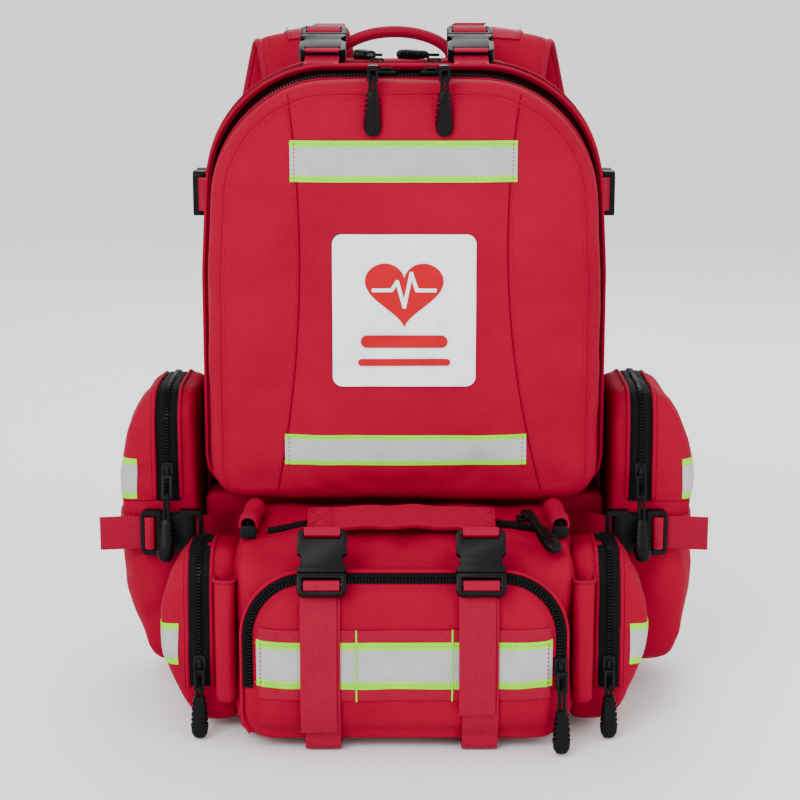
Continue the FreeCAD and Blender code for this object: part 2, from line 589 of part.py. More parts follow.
def waist_handle():
    x0, x1 = WAIST_STRAP_X[0] - 12, WAIST_STRAP_X[1] + 12
    mid = (x0 + x1) / 2
    z = WAIST_HANDLE_Z
    face = Part.Face(Part.Wire([
        Part.Arc(V(x0, -146, z), V(mid, -146, z + 4.5), V(x1, -146, z)).toShape(),
        Part.LineSegment(V(x1, -146, z), V(x1, -146, z + 3.2)).toShape(),
        Part.Arc(V(x1, -146, z + 3.2), V(mid, -146, z + 8.2), V(x0, -146, z + 3.2)).toShape(),
        Part.LineSegment(V(x0, -146, z + 3.2), V(x0, -146, z)).toShape(),
    ]))
    save("waist_handle", face.extrude(V(0, 24, 0)))


WAIST_BUCKLE_SLOPE = 30.0


def waist_buckle(half, x):
    """Half a buckle that hangs from the handle's end and points down the front."""
    return placed(half, V(x, POCKET_FRONT + 0.5, 131.0), [(V(1, 0, 0), 180 - WAIST_BUCKLE_SLOPE)])


def waist_sliders():
    """Sliders on the front pocket, both side pockets and the top zip."""
    at = V(POCKET_HALF - 5.0, POCKET_FRONT + 5.6, 62)
    save("waist_slider_front", placed(slider(), at))
    save("waist_pull_front", placed(pull(13, 13, -2), V(at.x + 1, at.y - SLIDER_H - 2.2, at.z - 3)))
    mid = SIDE_POCKET[0] + 28
    for side, name in ((-1, "left"), (1, "right")):
        at = V(side * mid, -153.2, 52)
        save(f"waist_slider_{name}", placed(slider(), at))
        save(f"waist_pull_{name}", placed(pull(13, 4, -3), V(at.x, at.y - SLIDER_H - 2.2, at.z - 3)))
    lying = placed(pull(11, 12), V(88, -121, 156.0), [(V(1, 0, 0), -74), (V(0, 0, 1), 20)])
    flat = [(V(1, 0, 0), -90), (V(0, 0, 1), 90)]
    save("waist_slider_top", placed(slider(), V(88, -117, 149.4), flat), lying)


main_pack()
straps()
haul_handle()
flaps()
top_buckles()
side_buckles()
main_sliders()
pouch_socket = pouches()
webbing_rows = waist_body()
waist_straps(webbing_rows)
waist_handle()
for strap_x, strap_side in zip(WAIST_STRAP_X, ("left", "right")):
    save(f"waist_latch_{strap_side}", waist_buckle(LATCH, strap_x))
save("buckle_sockets", *both(SIDE_SOCKET), *both(pouch_socket), *[waist_buckle(SOCKET, x) for x in WAIST_STRAP_X])
waist_sliders()
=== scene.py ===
import math
from contextlib import contextmanager

import bmesh
import bpy
from mathutils import Matrix, Vector, noise
from mathutils.bvhtree import BVHTree


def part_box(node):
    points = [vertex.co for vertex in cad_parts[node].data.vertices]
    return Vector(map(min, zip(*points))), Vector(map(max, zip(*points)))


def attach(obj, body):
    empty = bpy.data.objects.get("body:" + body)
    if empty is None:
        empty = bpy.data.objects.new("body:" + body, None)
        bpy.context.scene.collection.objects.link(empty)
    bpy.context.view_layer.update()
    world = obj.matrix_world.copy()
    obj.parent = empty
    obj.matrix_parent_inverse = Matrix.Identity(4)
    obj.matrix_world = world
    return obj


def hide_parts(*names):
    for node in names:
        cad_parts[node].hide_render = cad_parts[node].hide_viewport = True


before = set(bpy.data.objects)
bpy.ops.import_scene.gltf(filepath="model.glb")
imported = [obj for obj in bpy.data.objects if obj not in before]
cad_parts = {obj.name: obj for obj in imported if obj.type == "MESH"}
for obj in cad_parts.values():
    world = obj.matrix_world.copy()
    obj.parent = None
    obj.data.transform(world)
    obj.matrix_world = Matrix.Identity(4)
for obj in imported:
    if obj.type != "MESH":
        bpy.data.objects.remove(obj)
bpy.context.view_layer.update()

MM = 0.001
X, Y, Z = Vector((1, 0, 0)), Vector((0, 1, 0)), Vector((0, 0, 1))
SIDES = (("left", -1), ("right", 1))
WEB = 25.0                           # load webbing, width and thickness
WEB_T = 1.5
OUTSIDE = 30.0                       # how far in front of a surface its rays start


def box_mm(node):
    """A node's low and high corners in millimetres."""
    low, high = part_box(node)
    return Vector(low) / MM, Vector(high) / MM


# ---- materials ----------------------------------------------------------------------------------
class Shade:
    """A node material under construction: short calls that add and link nodes."""

    def __init__(self, name, roughness=0.6, **sockets):
        self.mat = bpy.data.materials.new(name)
        self.mat.use_nodes = True
        self.tree = self.mat.node_tree
        self.bsdf = self.tree.nodes["Principled BSDF"]
        self.bsdf.inputs["Roughness"].default_value = roughness
        for key, value in sockets.items():
            self.bsdf.inputs[key.replace("_", " ")].default_value = value
        self.coords = self.node("ShaderNodeTexCoord").outputs["Object"]

    def node(self, kind, **inputs):
        n = self.tree.nodes.new(kind)
        for key, value in inputs.items():
            socket = n.inputs[key.replace("_", " ")] if not key.startswith("i") else n.inputs[int(key[1:])]
            if isinstance(value, bpy.types.NodeSocket):
                self.tree.links.new(value, socket)
            else:
                socket.default_value = value
        return n

    def maths(self, operation, a, b=0.0):
        n = self.node("ShaderNodeMath", i0=a, i1=b)
        n.operation = operation
        return n.outputs[0]

    def noise(self, scale, detail=3.0):
        return self.node("ShaderNodeTexNoise", Vector=self.coords, Scale=scale, Detail=detail,
                         Roughness=0.5).outputs["Fac"]

    def ramp(self, fac, stops):
        n = self.node("ShaderNodeValToRGB", Fac=fac)
        while len(n.color_ramp.elements) < len(stops):
            n.color_ramp.elements.new(0.5)
        for element, (at, color) in zip(n.color_ramp.elements, stops):
            element.position = at
            element.color = (*color, 1)
        return n.outputs["Color"]

    def color(self, socket):
        self.tree.links.new(socket, self.bsdf.inputs["Base Color"])

    def bump(self, *layers):
        """Stacks (height, strength, distance in mm) bumps and links them to the shader."""
        normal = None
        for height, strength, distance in layers:
            n = self.node("ShaderNodeBump", Height=height, Strength=strength, Distance=distance * MM)
            if normal:
                self.tree.links.new(normal, n.inputs["Normal"])
            normal = n.outputs["Normal"]
        self.tree.links.new(normal, self.bsdf.inputs["Normal"])

    def weave(self, pitch):
        """Over-and-under threads in whichever plane the surface faces, 0 to 1."""
        xyz = self.node("ShaderNodeSeparateXYZ", Vector=self.coords).outputs
        normal = self.node("ShaderNodeNewGeometry").outputs["Normal"]
        facing = self.node("ShaderNodeSeparateXYZ", Vector=normal).outputs
        waves = [self.maths("SINE", self.maths("MULTIPLY", axis, 2 * math.pi / (pitch * MM))) for axis in xyz]
        total = None
        for a, b, c in ((0, 1, 2), (1, 0, 2), (2, 0, 1)):
            cross = self.maths("MULTIPLY", waves[b], waves[c])
            part = self.maths("MULTIPLY", cross, self.maths("ABSOLUTE", facing[a]))
            total = part if total is None else self.maths("ADD", total, part)
        return self.maths("ADD", self.maths("MULTIPLY", total, 0.5), 0.5)

    def ribs(self, along, pitch):
        """Ribs across (0) or along (1) a strip, from its UV map, which is in millimetres."""
        uv = self.node("ShaderNodeSeparateXYZ", Vector=self.node("ShaderNodeUVMap").outputs["UV"]).outputs[along]
        wave = self.maths("SINE", self.maths("MULTIPLY", uv, 2 * math.pi / pitch))
        return self.maths("ADD", self.maths("MULTIPLY", wave, 0.5), 0.5)


def scaled(color, k):
    """A colour times k, clipped at white."""
    return tuple(min(c * k, 1.0) for c in color)


def cloth_material(name, color, pitch=0.9, bump=0.35, roughness=0.66):
    """Woven fabric: threads, soft blotches, and slightly paler worn threads."""
    s = Shade(name, roughness, Sheen_Weight=0.05, Sheen_Roughness=0.5, Sheen_Tint=(*scaled(color, 1.4), 1.0),
              Specular_IOR_Level=0.05)
    broad, fine = s.noise(9.0, 4.0), s.noise(420.0, 2.0)
    blotch = s.maths("ADD", s.maths("MULTIPLY", broad, 0.75), s.maths("MULTIPLY", fine, 0.25))
    s.color(s.ramp(blotch, [(0.3, scaled(color, 0.84)), (0.52, color), (0.75, scaled(color, 1.12))]))
    s.bump((s.weave(pitch), bump, 0.25), (s.noise(55.0, 4.0), 0.12, 1.0))
    return s.mat


def webbing_material(name, color, roughness=0.55, pitch=1.5):
    """Webbing with ribs along its length and fine picks across."""
    s = Shade(name, roughness, Sheen_Weight=0.08, Sheen_Roughness=0.4, Sheen_Tint=(*scaled(color, 1.4), 1.0),
              Specular_IOR_Level=0.08)
    ribs, picks = s.ribs(0, pitch), s.ribs(1, 0.9)
    mottled = s.maths("ADD", s.maths("MULTIPLY", ribs, 0.45), s.maths("MULTIPLY", s.noise(300.0), 0.55))
    s.color(s.ramp(mottled, [(0.2, scaled(color, 0.84)), (0.5, color), (0.85, scaled(color, 1.1))]))
    s.bump((ribs, 0.4, 0.3), (picks, 0.3, 0.2))
    return s.mat


def plastic_material(name, color, roughness=0.42):
    """Moulded plastic or enamel, with faint mottling and a fine grain."""
    s = Shade(name, roughness, Specular_IOR_Level=0.1)
    s.color(s.ramp(s.noise(120.0), [(0.3, scaled(color, 0.8)), (0.7, scaled(color, 1.25))]))
    s.bump((s.noise(900.0, 2.0), 0.12, 0.15))
    return s.mat


def tape_material(name, color, roughness, grid, metallic=0.0, glow=0.0, gloss=0.12):
    """Coated tape with a fine square emboss."""
    s = Shade(name, roughness, Metallic=metallic, Specular_IOR_Level=gloss)
    # glow is painted light: a faint emission in the tape's own colour that brightens it beyond what the lamps give
    if glow:
        s.bsdf.inputs["Emission Color"].default_value = (*color, 1)
        s.bsdf.inputs["Emission Strength"].default_value = glow
    s.color(s.ramp(s.noise(70.0, 3.0), [(0.3, scaled(color, 0.9)), (0.7, scaled(color, 1.06))]))
    s.bump((s.weave(grid), 0.3, 0.2), (s.noise(30.0), 0.1, 0.6))
    return s.mat


RED = (0.27, 0.0, 0.019)
RED_DEEP = (0.15, 0.0, 0.01)
RED_WEB = (0.27, 0.001, 0.022)
MATS = {
    "red": cloth_material("red_oxford", RED),
    # the lining's deeper red, also used as painted shade: the dark line along the lid's panel seams
    "lining_and_seam_shade": cloth_material("red_lining_and_seam_shade", RED_DEEP, pitch=0.7, roughness=0.5),
    "mesh": cloth_material("air_mesh", (0.035, 0.035, 0.038), pitch=3.2, bump=0.9, roughness=0.8),
    "webbing": webbing_material("red_webbing", RED_WEB),
    "binding": webbing_material("red_binding", scaled(RED_WEB, 0.92), pitch=1.3),
    "thread": cloth_material("red_thread", (0.33, 0.004, 0.03), pitch=0.5, roughness=0.5),
    "lime_thread": cloth_material("lime_thread", (0.16, 0.5, 0.0), pitch=0.5, roughness=0.5),
    "zip": webbing_material("zip_tape", (0.003, 0.003, 0.0035), roughness=0.7, pitch=1.2),
    "coil": plastic_material("zip_coil", (0.004, 0.004, 0.0045), roughness=0.3),
    "plastic": plastic_material("buckle_plastic", (0.003, 0.003, 0.0035), roughness=0.4),
    "rubber": plastic_material("pull_rubber", (0.0025, 0.0025, 0.003), roughness=0.34),
    "cord": webbing_material("pull_cord", (0.006, 0.006, 0.006), roughness=0.6, pitch=0.8),
    "enamel": plastic_material("slider_enamel", (0.005, 0.005, 0.006), roughness=0.22),
    "silver": tape_material("reflective_silver", (0.4, 0.415, 0.4), 0.42, 1.6, metallic=0.2, gloss=0.3),
    "lime": tape_material("reflective_lime", (0.25, 0.74, 0.0), 0.6, 1.2, glow=0.06),
    "vinyl": tape_material("patch_vinyl", (0.8, 0.86, 0.9), 0.35, 6.0, gloss=0.4),
    "print": tape_material("patch_print", (0.42, 0.0, 0.008), 0.5, 6.0),
    "sheet": plastic_material("stiffener", (0.05, 0.05, 0.05)),
}


# ---- mesh building ------------------------------------------------------------------------------
class Build:
    """Gathers polygons in millimetres, with a material and a UV for each."""

    def __init__(self, *materials):
        self.materials = materials or ("red",)
        self.verts, self.faces, self.slots, self.uvs = [], [], [], []

    def grid(self, rows, slot=0, uvs=None, closed=False, flip=False):
        """Quads between rows of points; closed joins each row's end to its start."""
        start, n = len(self.verts), len(rows[0])
        self.verts += [Vector(p) for row in rows for p in row]
        for i in range(len(rows) - 1):
            for j in range(n if closed else n - 1):
                k = (j + 1) % n
                ids = [(i, j), (i, k), (i + 1, k), (i + 1, j)]
                if flip:
                    ids.reverse()
                self.faces.append([start + a * n + b for a, b in ids])
                self.slots.append(slot)
                self.uvs.append([uvs[a][b] if uvs else (0.0, 0.0) for a, b in ids])
        return start

    def polygon(self, points, slot=0):
        """One flat face."""
        start = len(self.verts)
        self.verts += [Vector(p) for p in points]
        self.faces.append(list(range(start, start + len(points))))
        self.slots.append(slot)
        self.uvs.append([(0.0, 0.0)] * len(points))

    def block(self, centre, a, b, c, slot=0, pinch=1.0):
        """A small box from its centre and half-edges; pinch narrows its +c end."""
        start = len(self.verts)
        for k, w in ((-1, 1.0), (1, pinch)):
            for i, j in ((-1, -1), (1, -1), (1, 1), (-1, 1)):
                self.verts.append(centre + a * (i * w) + b * (j * w) + c * k)
        quads = ((3, 2, 1, 0), (4, 5, 6, 7), (0, 1, 5, 4), (1, 2, 6, 5), (2, 3, 7, 6), (3, 0, 4, 7))
        for q in quads:
            self.faces.append([start + i for i in q])
            self.slots.append(slot)
            self.uvs.append([(0.0, 0.0)] * 4)

    def slab(self, points, normals, lift, thick, slot=0):
        """A thick strip over a grid of surface points: points[i][j], i along it and j across it."""
        top = [[p + n * (lift + thick) for p, n in zip(ps, ns)] for ps, ns in zip(points, normals)]
        low = [[p + n * lift for p, n in zip(ps, ns)] for ps, ns in zip(points, normals)]
        us, vs = [0.0], [0.0]
        for j in range(1, len(top[0])):
            us.append(us[-1] + (top[0][j] - top[0][j - 1]).length)
        for i in range(1, len(top)):
            vs.append(vs[-1] + (top[i][0] - top[i - 1][0]).length)
        rows = [list(reversed(l)) + t for t, l in zip(top, low)]
        ring_u = list(reversed(us)) + us
        uvs = [[(u, v) for u in ring_u + ring_u[:1]] for v in vs]
        self.grid([r + r[:1] for r in rows], slot, uvs)
        for row, flip in ((rows[0], False), (rows[-1], True)):
            self.polygon(row if flip else list(reversed(row)), slot)

    def tube(self, path, radius, slot=0, sides=8, flat=1.0, up=Z):
        """A round or flattened tube along a path of points."""
        rows, uvs, v = [], [], 0.0
        for i, p in enumerate(path):
            before, after = path[max(i - 1, 0)], path[min(i + 1, len(path) - 1)]
            way = (after - before).normalized()
            a = way.cross(up)
            a = a.normalized() if a.length > 1e-4 else way.cross(X).normalized()
            b = way.cross(a)
            r = radius[i] if isinstance(radius, (list, tuple)) else radius
            ring = []
            for k in range(sides):
                t = 2 * math.pi * k / sides
                ring.append(p + a * (r * math.cos(t)) + b * (r * flat * math.sin(t)))
            v += (p - path[i - 1]).length if i else 0.0
            rows.append(ring)
            uvs.append([(r * 2 * math.pi * k / sides, v) for k in range(sides)])
        self.grid(rows, slot, uvs, closed=True)
        self.polygon(list(reversed(rows[0])), slot)
        self.polygon(rows[-1], slot)

    def mesh(self, name):
        mesh = bpy.data.meshes.new(name)
        mesh.from_pydata([v * MM for v in self.verts], [], self.faces)
        layer = mesh.uv_layers.new(name="UVMap")
        flat = [c for uv in self.uvs for pair in uv for c in pair]
        layer.data.foreach_set("uv", flat)
        mesh.polygons.foreach_set("material_index", self.slots)
        for m in self.materials:
            mesh.materials.append(MATS[m])
        return mesh


def new_object(name, data):
    """Links a new object."""
    obj = bpy.data.objects.new(name, data)
    bpy.context.scene.collection.objects.link(obj)
    return obj


@contextmanager
def edited(mesh):
    """A mesh opened as a bmesh, and written back at the end."""
    bm = bmesh.new()
    bm.from_mesh(mesh)
    yield bm
    bm.to_mesh(mesh)
    bm.free()


def weld(mesh, gap):
    """Joins vertices closer than gap and turns the faces outwards."""
    with edited(mesh) as bm:
        bmesh.ops.remove_doubles(bm, verts=bm.verts, dist=gap * MM)
        bmesh.ops.recalc_face_normals(bm, faces=bm.faces)


def adopt(obj, body, replaces=(), smooth=180.0):
    """Finishes an object: smooth shading, body and replaced nodes."""
    obj.data.shade_smooth()
    if smooth < 180:
        obj.data.set_sharp_from_angle(angle=math.radians(smooth))
    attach(obj, body)
    if replaces:
        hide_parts(*replaces)
    return obj


def piece(name, build, body, replaces=(), smooth=40.0, welded=False):
    """Makes an object from a Build and finishes it."""
    mesh = build.mesh(name)
    if welded:
        weld(mesh, 0.02)
    return adopt(new_object(name, mesh), body, replaces, smooth)


def modified(obj):
    """Applies an object's modifiers by taking its evaluated mesh."""
    graph = bpy.context.evaluated_depsgraph_get()
    mesh = bpy.data.meshes.new_from_object(obj.evaluated_get(graph))
    obj.modifiers.clear()
    old, obj.data = obj.data, mesh
    bpy.data.meshes.remove(old)
    return obj


def rounded(points, radii, step=6.0):
    """A closed 2-D outline with its corners rounded, as points about step apart on the arcs."""
    out, n = [], len(points)
    for i, r in enumerate(radii):
        p, a, b = Vector(points[i]), Vector(points[i - 1]), Vector(points[(i + 1) % n])
        da, db = (a - p).normalized(), (b - p).normalized()
        half = da.angle(db) / 2
        if r <= 0 or half > 1.56:
            out.append(p)
            continue
        centre = p + (da + db).normalized() * (r / math.sin(half))
        start = p + da * (r / math.tan(half)) - centre
        turn = math.pi - 2 * half
        turn *= 1 if da.x * db.y - da.y * db.x < 0 else -1
        count = max(2, round(abs(turn) * r / step))
        for k in range(count + 1):
            t = turn * k / count
            c, s = math.cos(t), math.sin(t)
            out.append(centre + Vector((start.x * c - start.y * s, start.x * s + start.y * c)))
    return out


class Skin:
    """A finished soft surface that straps, seams and zips are laid on."""

    def __init__(self, obj):
        verts = [obj.matrix_world @ v.co / MM for v in obj.data.vertices]
        polys = [list(p.vertices) for p in obj.data.polygons]
        self.tree = BVHTree.FromPolygons(verts, polys)

    def drop(self, point, way):
        """Where a ray from outside meets the surface, and the normal there, facing the ray."""
        hit, normal, _, _ = self.tree.ray_cast(point, way)
        if hit is None:
            hit, normal, _, _ = self.tree.find_nearest(point)
        return hit, (normal if normal.dot(way) < 0 else -normal)

    def front(self, point):
        """The surface straight behind a point of the front view, as (place, normal)."""
        return self.drop(point - Y * OUTSIDE, Y)


def spread(points, step):
    """Points evenly about step apart along a polyline."""
    lengths = [0.0]
    for a, b in zip(points, points[1:]):
        lengths.append(lengths[-1] + (b - a).length)
    count = max(1, round(lengths[-1] / step))
    out, i = [], 0
    for k in range(count + 1):
        at = lengths[-1] * k / count
        while i < len(points) - 2 and lengths[i + 1] < at:
            i += 1
        span = lengths[i + 1] - lengths[i]
        out.append(points[i].lerp(points[i + 1], (at - lengths[i]) / span if span else 0.0))
    return out


def laid(skin, line, across, offsets, way):
    """Grids of points and normals for a strip dropped on a skin along way."""
    points, normals = [], []
    for k, p in enumerate(line):
        a = across[k] if isinstance(across, list) else across
        w = way[k] if isinstance(way, list) else way
        hits = [skin.drop(p + a * o - w * 60, w) for o in offsets]
        points.append([h[0] for h in hits])
        normals.append([h[1] for h in hits])
    return points, normals


def evened(normals):
    """Normals averaged along and across a strip, so that it lies flatter than the cloth below."""
    mean = []
    for i in range(len(normals)):
        near = normals[max(i - 2, 0):i + 3]
        total = sum((n for row in near for n in row), Vector())
        mean.append([total.normalized()] * len(normals[i]))
    return mean


def stitches(build, points, normals, pitch=4.2, length=2.7, slot=0, lift=0.25):
    """A row of short threads along a polyline with a normal at each point."""
    line = spread(points, pitch)
    for p, q in zip(line, line[1:]):
        way = q - p
        if way.length < 1e-6:
            continue
        way.normalize()
        nearest = min(range(len(points)), key=lambda i: (points[i] - p).length_squared)
        n = normals[nearest]
        side = way.cross(n).normalized()
        build.block(p + n * lift, way * (length / 2), side * 0.32, n * 0.28, slot, pinch=0.8)


def sewn(build, hits, *sizes, slot=1, lift=0.25):
    """Stitches along (place, normal) pairs."""
    stitches(build, [h[0] for h in hits], [h[1] for h in hits], *sizes, slot=slot, lift=lift)


TOOTH_PITCH = 2.3


def zip_track(build, frames, half_width):
    """Tape (slot 0) and coil (slot 1) along frames of (point, normal, across)."""
    points = [f[0] for f in frames]
    for low, high, lift in ((-half_width, -2.4, 0.0), (2.4, half_width, 0.0), (-2.5, 2.5, 0.2)):
        offsets = [low, (low + high) / 2, high]
        grid = [[p + a * o for o in offsets] for p, _, a in frames]
        normals = [[n] * 3 for _, n, _ in frames]
        build.slab(grid, normals, lift - 0.4, 0.9, 0)
    line = spread(points, TOOTH_PITCH)
    i = 0
    for k, p in enumerate(line[:-1]):
        while i < len(points) - 2 and (points[i + 1] - p).length < (points[i] - p).length:
            i += 1
        _, n, a = frames[i]
        way = (line[k + 1] - p).normalized()
        shift = 0.35 if k % 2 else -0.35
        build.block(p + a * shift + n * 1.2, a * 2.4, way * 0.8, n * 1.0, 1, pinch=0.6)


# ---- soft shapes --------------------------------------------------------------------------------
TAPER, TAPER_FROM = 8.0, 322.0


ARCH_STEP = 6.0


def side_at(half, high, z):
    """Half the pack's width at a height: its sides lean in above TAPER_FROM."""
    return half - (TAPER * max(0.0, (z - TAPER_FROM) / (high - TAPER_FROM)) if high > TAPER_FROM else 0.0)


def arch_rows(half, low, high, low_r, high_r, inset, step):
    """(height, half width) up the pack's arched outline; the same count for every inset."""
    half, low, high, low_r, high_r = half - inset, low + inset, high - inset, low_r - inset, high_r - inset
    rows = []
    for k in range(5):
        t = math.pi / 2 * k / 4
        z = low + low_r * (1 - math.cos(t))
        rows.append((z, side_at(half, high, z) - low_r * (1 - math.sin(t))))
    count = round((high - low - low_r - high_r) / step)
    for k in range(1, count):
        z = low + low_r + (high - high_r - low - low_r) * k / count
        rows.append((z, side_at(half, high, z)))
    for k in range(17):
        t = math.pi / 2 * k / 16
        z = high - high_r + high_r * math.sin(t)
        rows.append((z, side_at(half, high, z) - high_r * (1 - math.cos(t))))
    return rows


def arch_shell(build, dims, stations, cols):
    """A cap on the first station and a wall through the rest: stations are (inset, y)."""
    inset, y = stations[0]
    rows = arch_rows(*dims, inset, ARCH_STEP)
    cap = [[Vector((w * (2 * j / cols - 1), y, z)) for j in range(cols + 1)] for z, w in rows]
    backwards = stations[-1][1] > y
    build.grid(cap, flip=not backwards)

    def border(inset, y):
        rows = arch_rows(*dims, inset, ARCH_STEP)
        low, high = rows[0], rows[-1]
        loop = [Vector((low[1] * (2 * j / cols - 1), y, low[0])) for j in range(cols + 1)]
        loop += [Vector((w, y, z)) for z, w in rows[1:]]
        loop += [Vector((high[1] * (1 - 2 * j / cols), y, high[0])) for j in range(1, cols + 1)]
        loop += [Vector((-w, y, z)) for z, w in reversed(rows[1:-1])]
        return loop

    loops = [border(i, at) for i, at in stations]
    build.grid(loops, closed=True, flip=backwards)


def rounding(radius, y, inward, count=4):
    """Stations that round an edge of the given radius from its cap at y."""
    out = []
    for k in range(count + 1):
        t = math.pi / 2 * k / count
        out.append((radius * (1 - math.sin(t)), y + inward * radius * (1 - math.cos(t))))
    return out


def ruffle(point, scale, amount):
    """Smooth deterministic noise for small wrinkles, in millimetres."""
    return noise.noise(point / scale) * amount


PRESSURE, GROWTH, FRAMES = 4.0, 0.015, 20        # of the cloth simulation


def inflate(obj, pinned, cap):
    mesh = obj.data
    group = obj.vertex_groups.new(name="pin")
    for v in mesh.vertices:
        w = pinned(v.co / MM)
        if w > 0:
            group.add([v.index], w, "REPLACE")
    before = [v.co.copy() for v in mesh.vertices]
    cloth = obj.modifiers.new("cloth", "CLOTH")
    s = cloth.settings
    s.quality = 6
    s.mass = 0.25
    s.tension_stiffness = s.compression_stiffness = 18.0
    s.shear_stiffness = 8.0
    s.bending_stiffness = 1.2
    s.air_damping = 4.0
    s.shrink_min = -GROWTH
    s.vertex_group_mass = "pin"
    s.use_pressure = True
    s.uniform_pressure_force = PRESSURE
    s.effector_weights.gravity = 0.0
    cloth.collision_settings.use_collision = False
    cloth.point_cache.frame_start, cloth.point_cache.frame_end = 1, FRAMES
    for f in range(1, FRAMES + 1):
        bpy.context.scene.frame_set(f)
    graph = bpy.context.evaluated_depsgraph_get()
    moved = [v.co.copy() for v in obj.evaluated_get(graph).data.vertices]
    obj.modifiers.clear()
    bpy.context.scene.frame_set(1)
    for v, a, b in zip(mesh.vertices, before, moved):
        step = b - a
        if step.length > cap * MM:
            step *= cap * MM / step.length
        v.co = a + step
    obj.vertex_groups.clear()
    relax(mesh, 2)


def relax(mesh, times):
    """Smooths a mesh."""
    with edited(mesh) as bm:
        for _ in range(times):
            bmesh.ops.smooth_vert(bm, verts=bm.verts, factor=0.5, use_axis_x=True, use_axis_y=True, use_axis_z=True)


def finer(obj):
    """One level of subdivision, applied."""
    sub = obj.modifiers.new("subdivide", "SUBSURF")
    sub.levels = sub.render_levels = 1
    return modified(obj)


def thicker(obj, thickness=2.6, even=True):
    """Gives a skin its thickness inwards, with the lining's material inside; even is off where corners are tight."""
    solid = obj.modifiers.new("thickness", "SOLIDIFY")
    solid.thickness = thickness * MM
    solid.offset = -1.0
    solid.material_offset = solid.material_offset_rim = 1
    solid.use_even_offset = even
    return modified(obj)


def prism(name, ends):
    """A closed solid between two outlines."""
    build = Build("red", "lining_and_seam_shade")
    build.grid(ends, closed=True)
    build.polygon(ends[0])
    build.polygon(list(reversed(ends[1])))
    obj = new_object(name, build.mesh(name))
    weld(obj.data, 0.001)
    return obj


def crossed(name, front, profile, spans, voxel=5.0):
    """A soft block: one outline run along Y meets another run along X, then both are softened."""
    block = prism(name, [[Vector((u, at, w)) for u, w in front] for at in spans[0]])
    tool = prism("tool", [[Vector((at, u, w)) for u, w in profile] for at in spans[1]])
    cut = block.modifiers.new("meet", "BOOLEAN")
    cut.operation, cut.object, cut.solver = "INTERSECT", tool, "EXACT"
    modified(block)
    bpy.data.objects.remove(tool)
    remesh = block.modifiers.new("remesh", "REMESH")
    remesh.mode, remesh.voxel_size = "VOXEL", voxel * MM
    modified(block)
    relax(block.data, 4)
    return block


def cut_region(obj, name, planes):
    """A copy of an object cut down to the inside of planes of (point, outward normal), in millimetres."""
    copy = new_object(name, obj.data.copy())
    with edited(copy.data) as bm:
        for point, normal in planes:
            geom = list(bm.verts) + list(bm.edges) + list(bm.faces)
            bmesh.ops.bisect_plane(bm, geom=geom, plane_co=Vector(point) * MM, plane_no=Vector(normal),
                                   clear_outer=True, dist=0.01 * MM)
    return copy


# ---- camera, floor and light --------------------------------------------------------------------
LOOK_DOWN = 11.2                     # degrees below level


def camera():
    """A long lens from the front, slightly from above."""
    data = bpy.data.cameras.new("camera")
    data.lens = 84.3
    data.sensor_width = 36
    obj = new_object("camera", data)
    obj.location = (-0.003, -1.424, 0.496)
    obj.rotation_euler = (math.radians(90 - LOOK_DOWN), 0, 0)
    bpy.context.scene.camera = obj


def studio():
    """A white room with three soft lights and a pale floor."""
    world = bpy.data.worlds.new("studio")
    bpy.context.scene.world = world
    world.use_nodes = True
    background = world.node_tree.nodes["Background"]
    background.inputs["Color"].default_value = (1, 1, 1, 1)
    background.inputs["Strength"].default_value = 1.35
    for name, at, size, energy in (("key", (-0.9, -1.9, 1.7), 1.2, 46), ("fill", (1.5, -1.5, 0.9), 1.6, 14),
                                   ("rear", (0.3, 1.6, 1.8), 1.4, 24)):
        lamp = bpy.data.lights.new(name, "AREA")
        lamp.size, lamp.energy = size, energy
        obj = new_object(name, lamp)
        obj.location = at
        obj.rotation_euler = (Vector((0, 0, 0.22)) - Vector(at)).to_track_quat("-Z", "Y").to_euler()
    mesh = bpy.data.meshes.new("floor")
    with edited(mesh) as bm:
        bmesh.ops.create_circle(bm, cap_ends=True, radius=9, segments=96)
    floor = new_object("floor", mesh)
    shade = Shade("pale_floor", 0.5)
    shade.color(shade.ramp(shade.noise(3.0), [(0.3, (0.93, 0.93, 0.93)), (0.7, (0.96, 0.96, 0.96))]))
    mesh.materials.append(shade.mat)


# ---- main pack ----------------------------------------------------------------------------------
def arch_of(node, low_r, high_r):
    """(half width, low, high, corner radii) of an arched node, and its front and rear."""
    low, high = box_mm(node)
    return (high.x, low.z, high.z, low_r, high_r), low.y, high.y


LID, LID_Y0, LID_Y1 = arch_of("front_lid", 24.0, 81.0)
FLAP, FLAP_Y0, FLAP_Y1 = arch_of("main_flap", 24.0, 83.0)
SHELL, _, SHELL_Y1 = arch_of("main_shell", 24.0, 85.0)
MAIN_Y = -18.0                       # front edge of the rear compartment
LID = (LID[0], LID[1] - 6.0, *LID[2:])       # both sag a little below their feet
FLAP = (FLAP[0], FLAP[1] - 4.0, *FLAP[2:])
BASE = (SHELL[0], 0.0, 152.0, 24.0, 6.0)
BASE_Y = -50.0


def depth_in(dims, x, z):
    """How far a point of the front view lies inside an arched outline."""
    half, low, high, _, high_r = dims
    side = side_at(half, high, z)
    if z > high - high_r and abs(x) > side - high_r:
        return high_r - math.hypot(abs(x) - (side - high_r), z - (high - high_r))
    return min(side - abs(x), high - z, z - low)


def face_out(obj, direction):
    """Welds a shell and turns its faces so that the furthest one along direction faces that way."""
    with edited(obj.data) as bm:
        bmesh.ops.remove_doubles(bm, verts=bm.verts, dist=0.02 * MM)
        bmesh.ops.recalc_face_normals(bm, faces=bm.faces)
        furthest = max(bm.faces, key=lambda f: f.calc_center_median().dot(direction) + f.calc_area() * 1e-3)
        if furthest.normal.dot(direction) < 0:
            bmesh.ops.reverse_faces(bm, faces=bm.faces)


def arch_object(name, dims, stations, cols, facing):
    """A new arched shell whose cap faces along facing."""
    build = Build("red", "lining_and_seam_shade")
    arch_shell(build, dims, stations, cols)
    obj = new_object(name, build.mesh(name))
    face_out(obj, facing)
    return obj


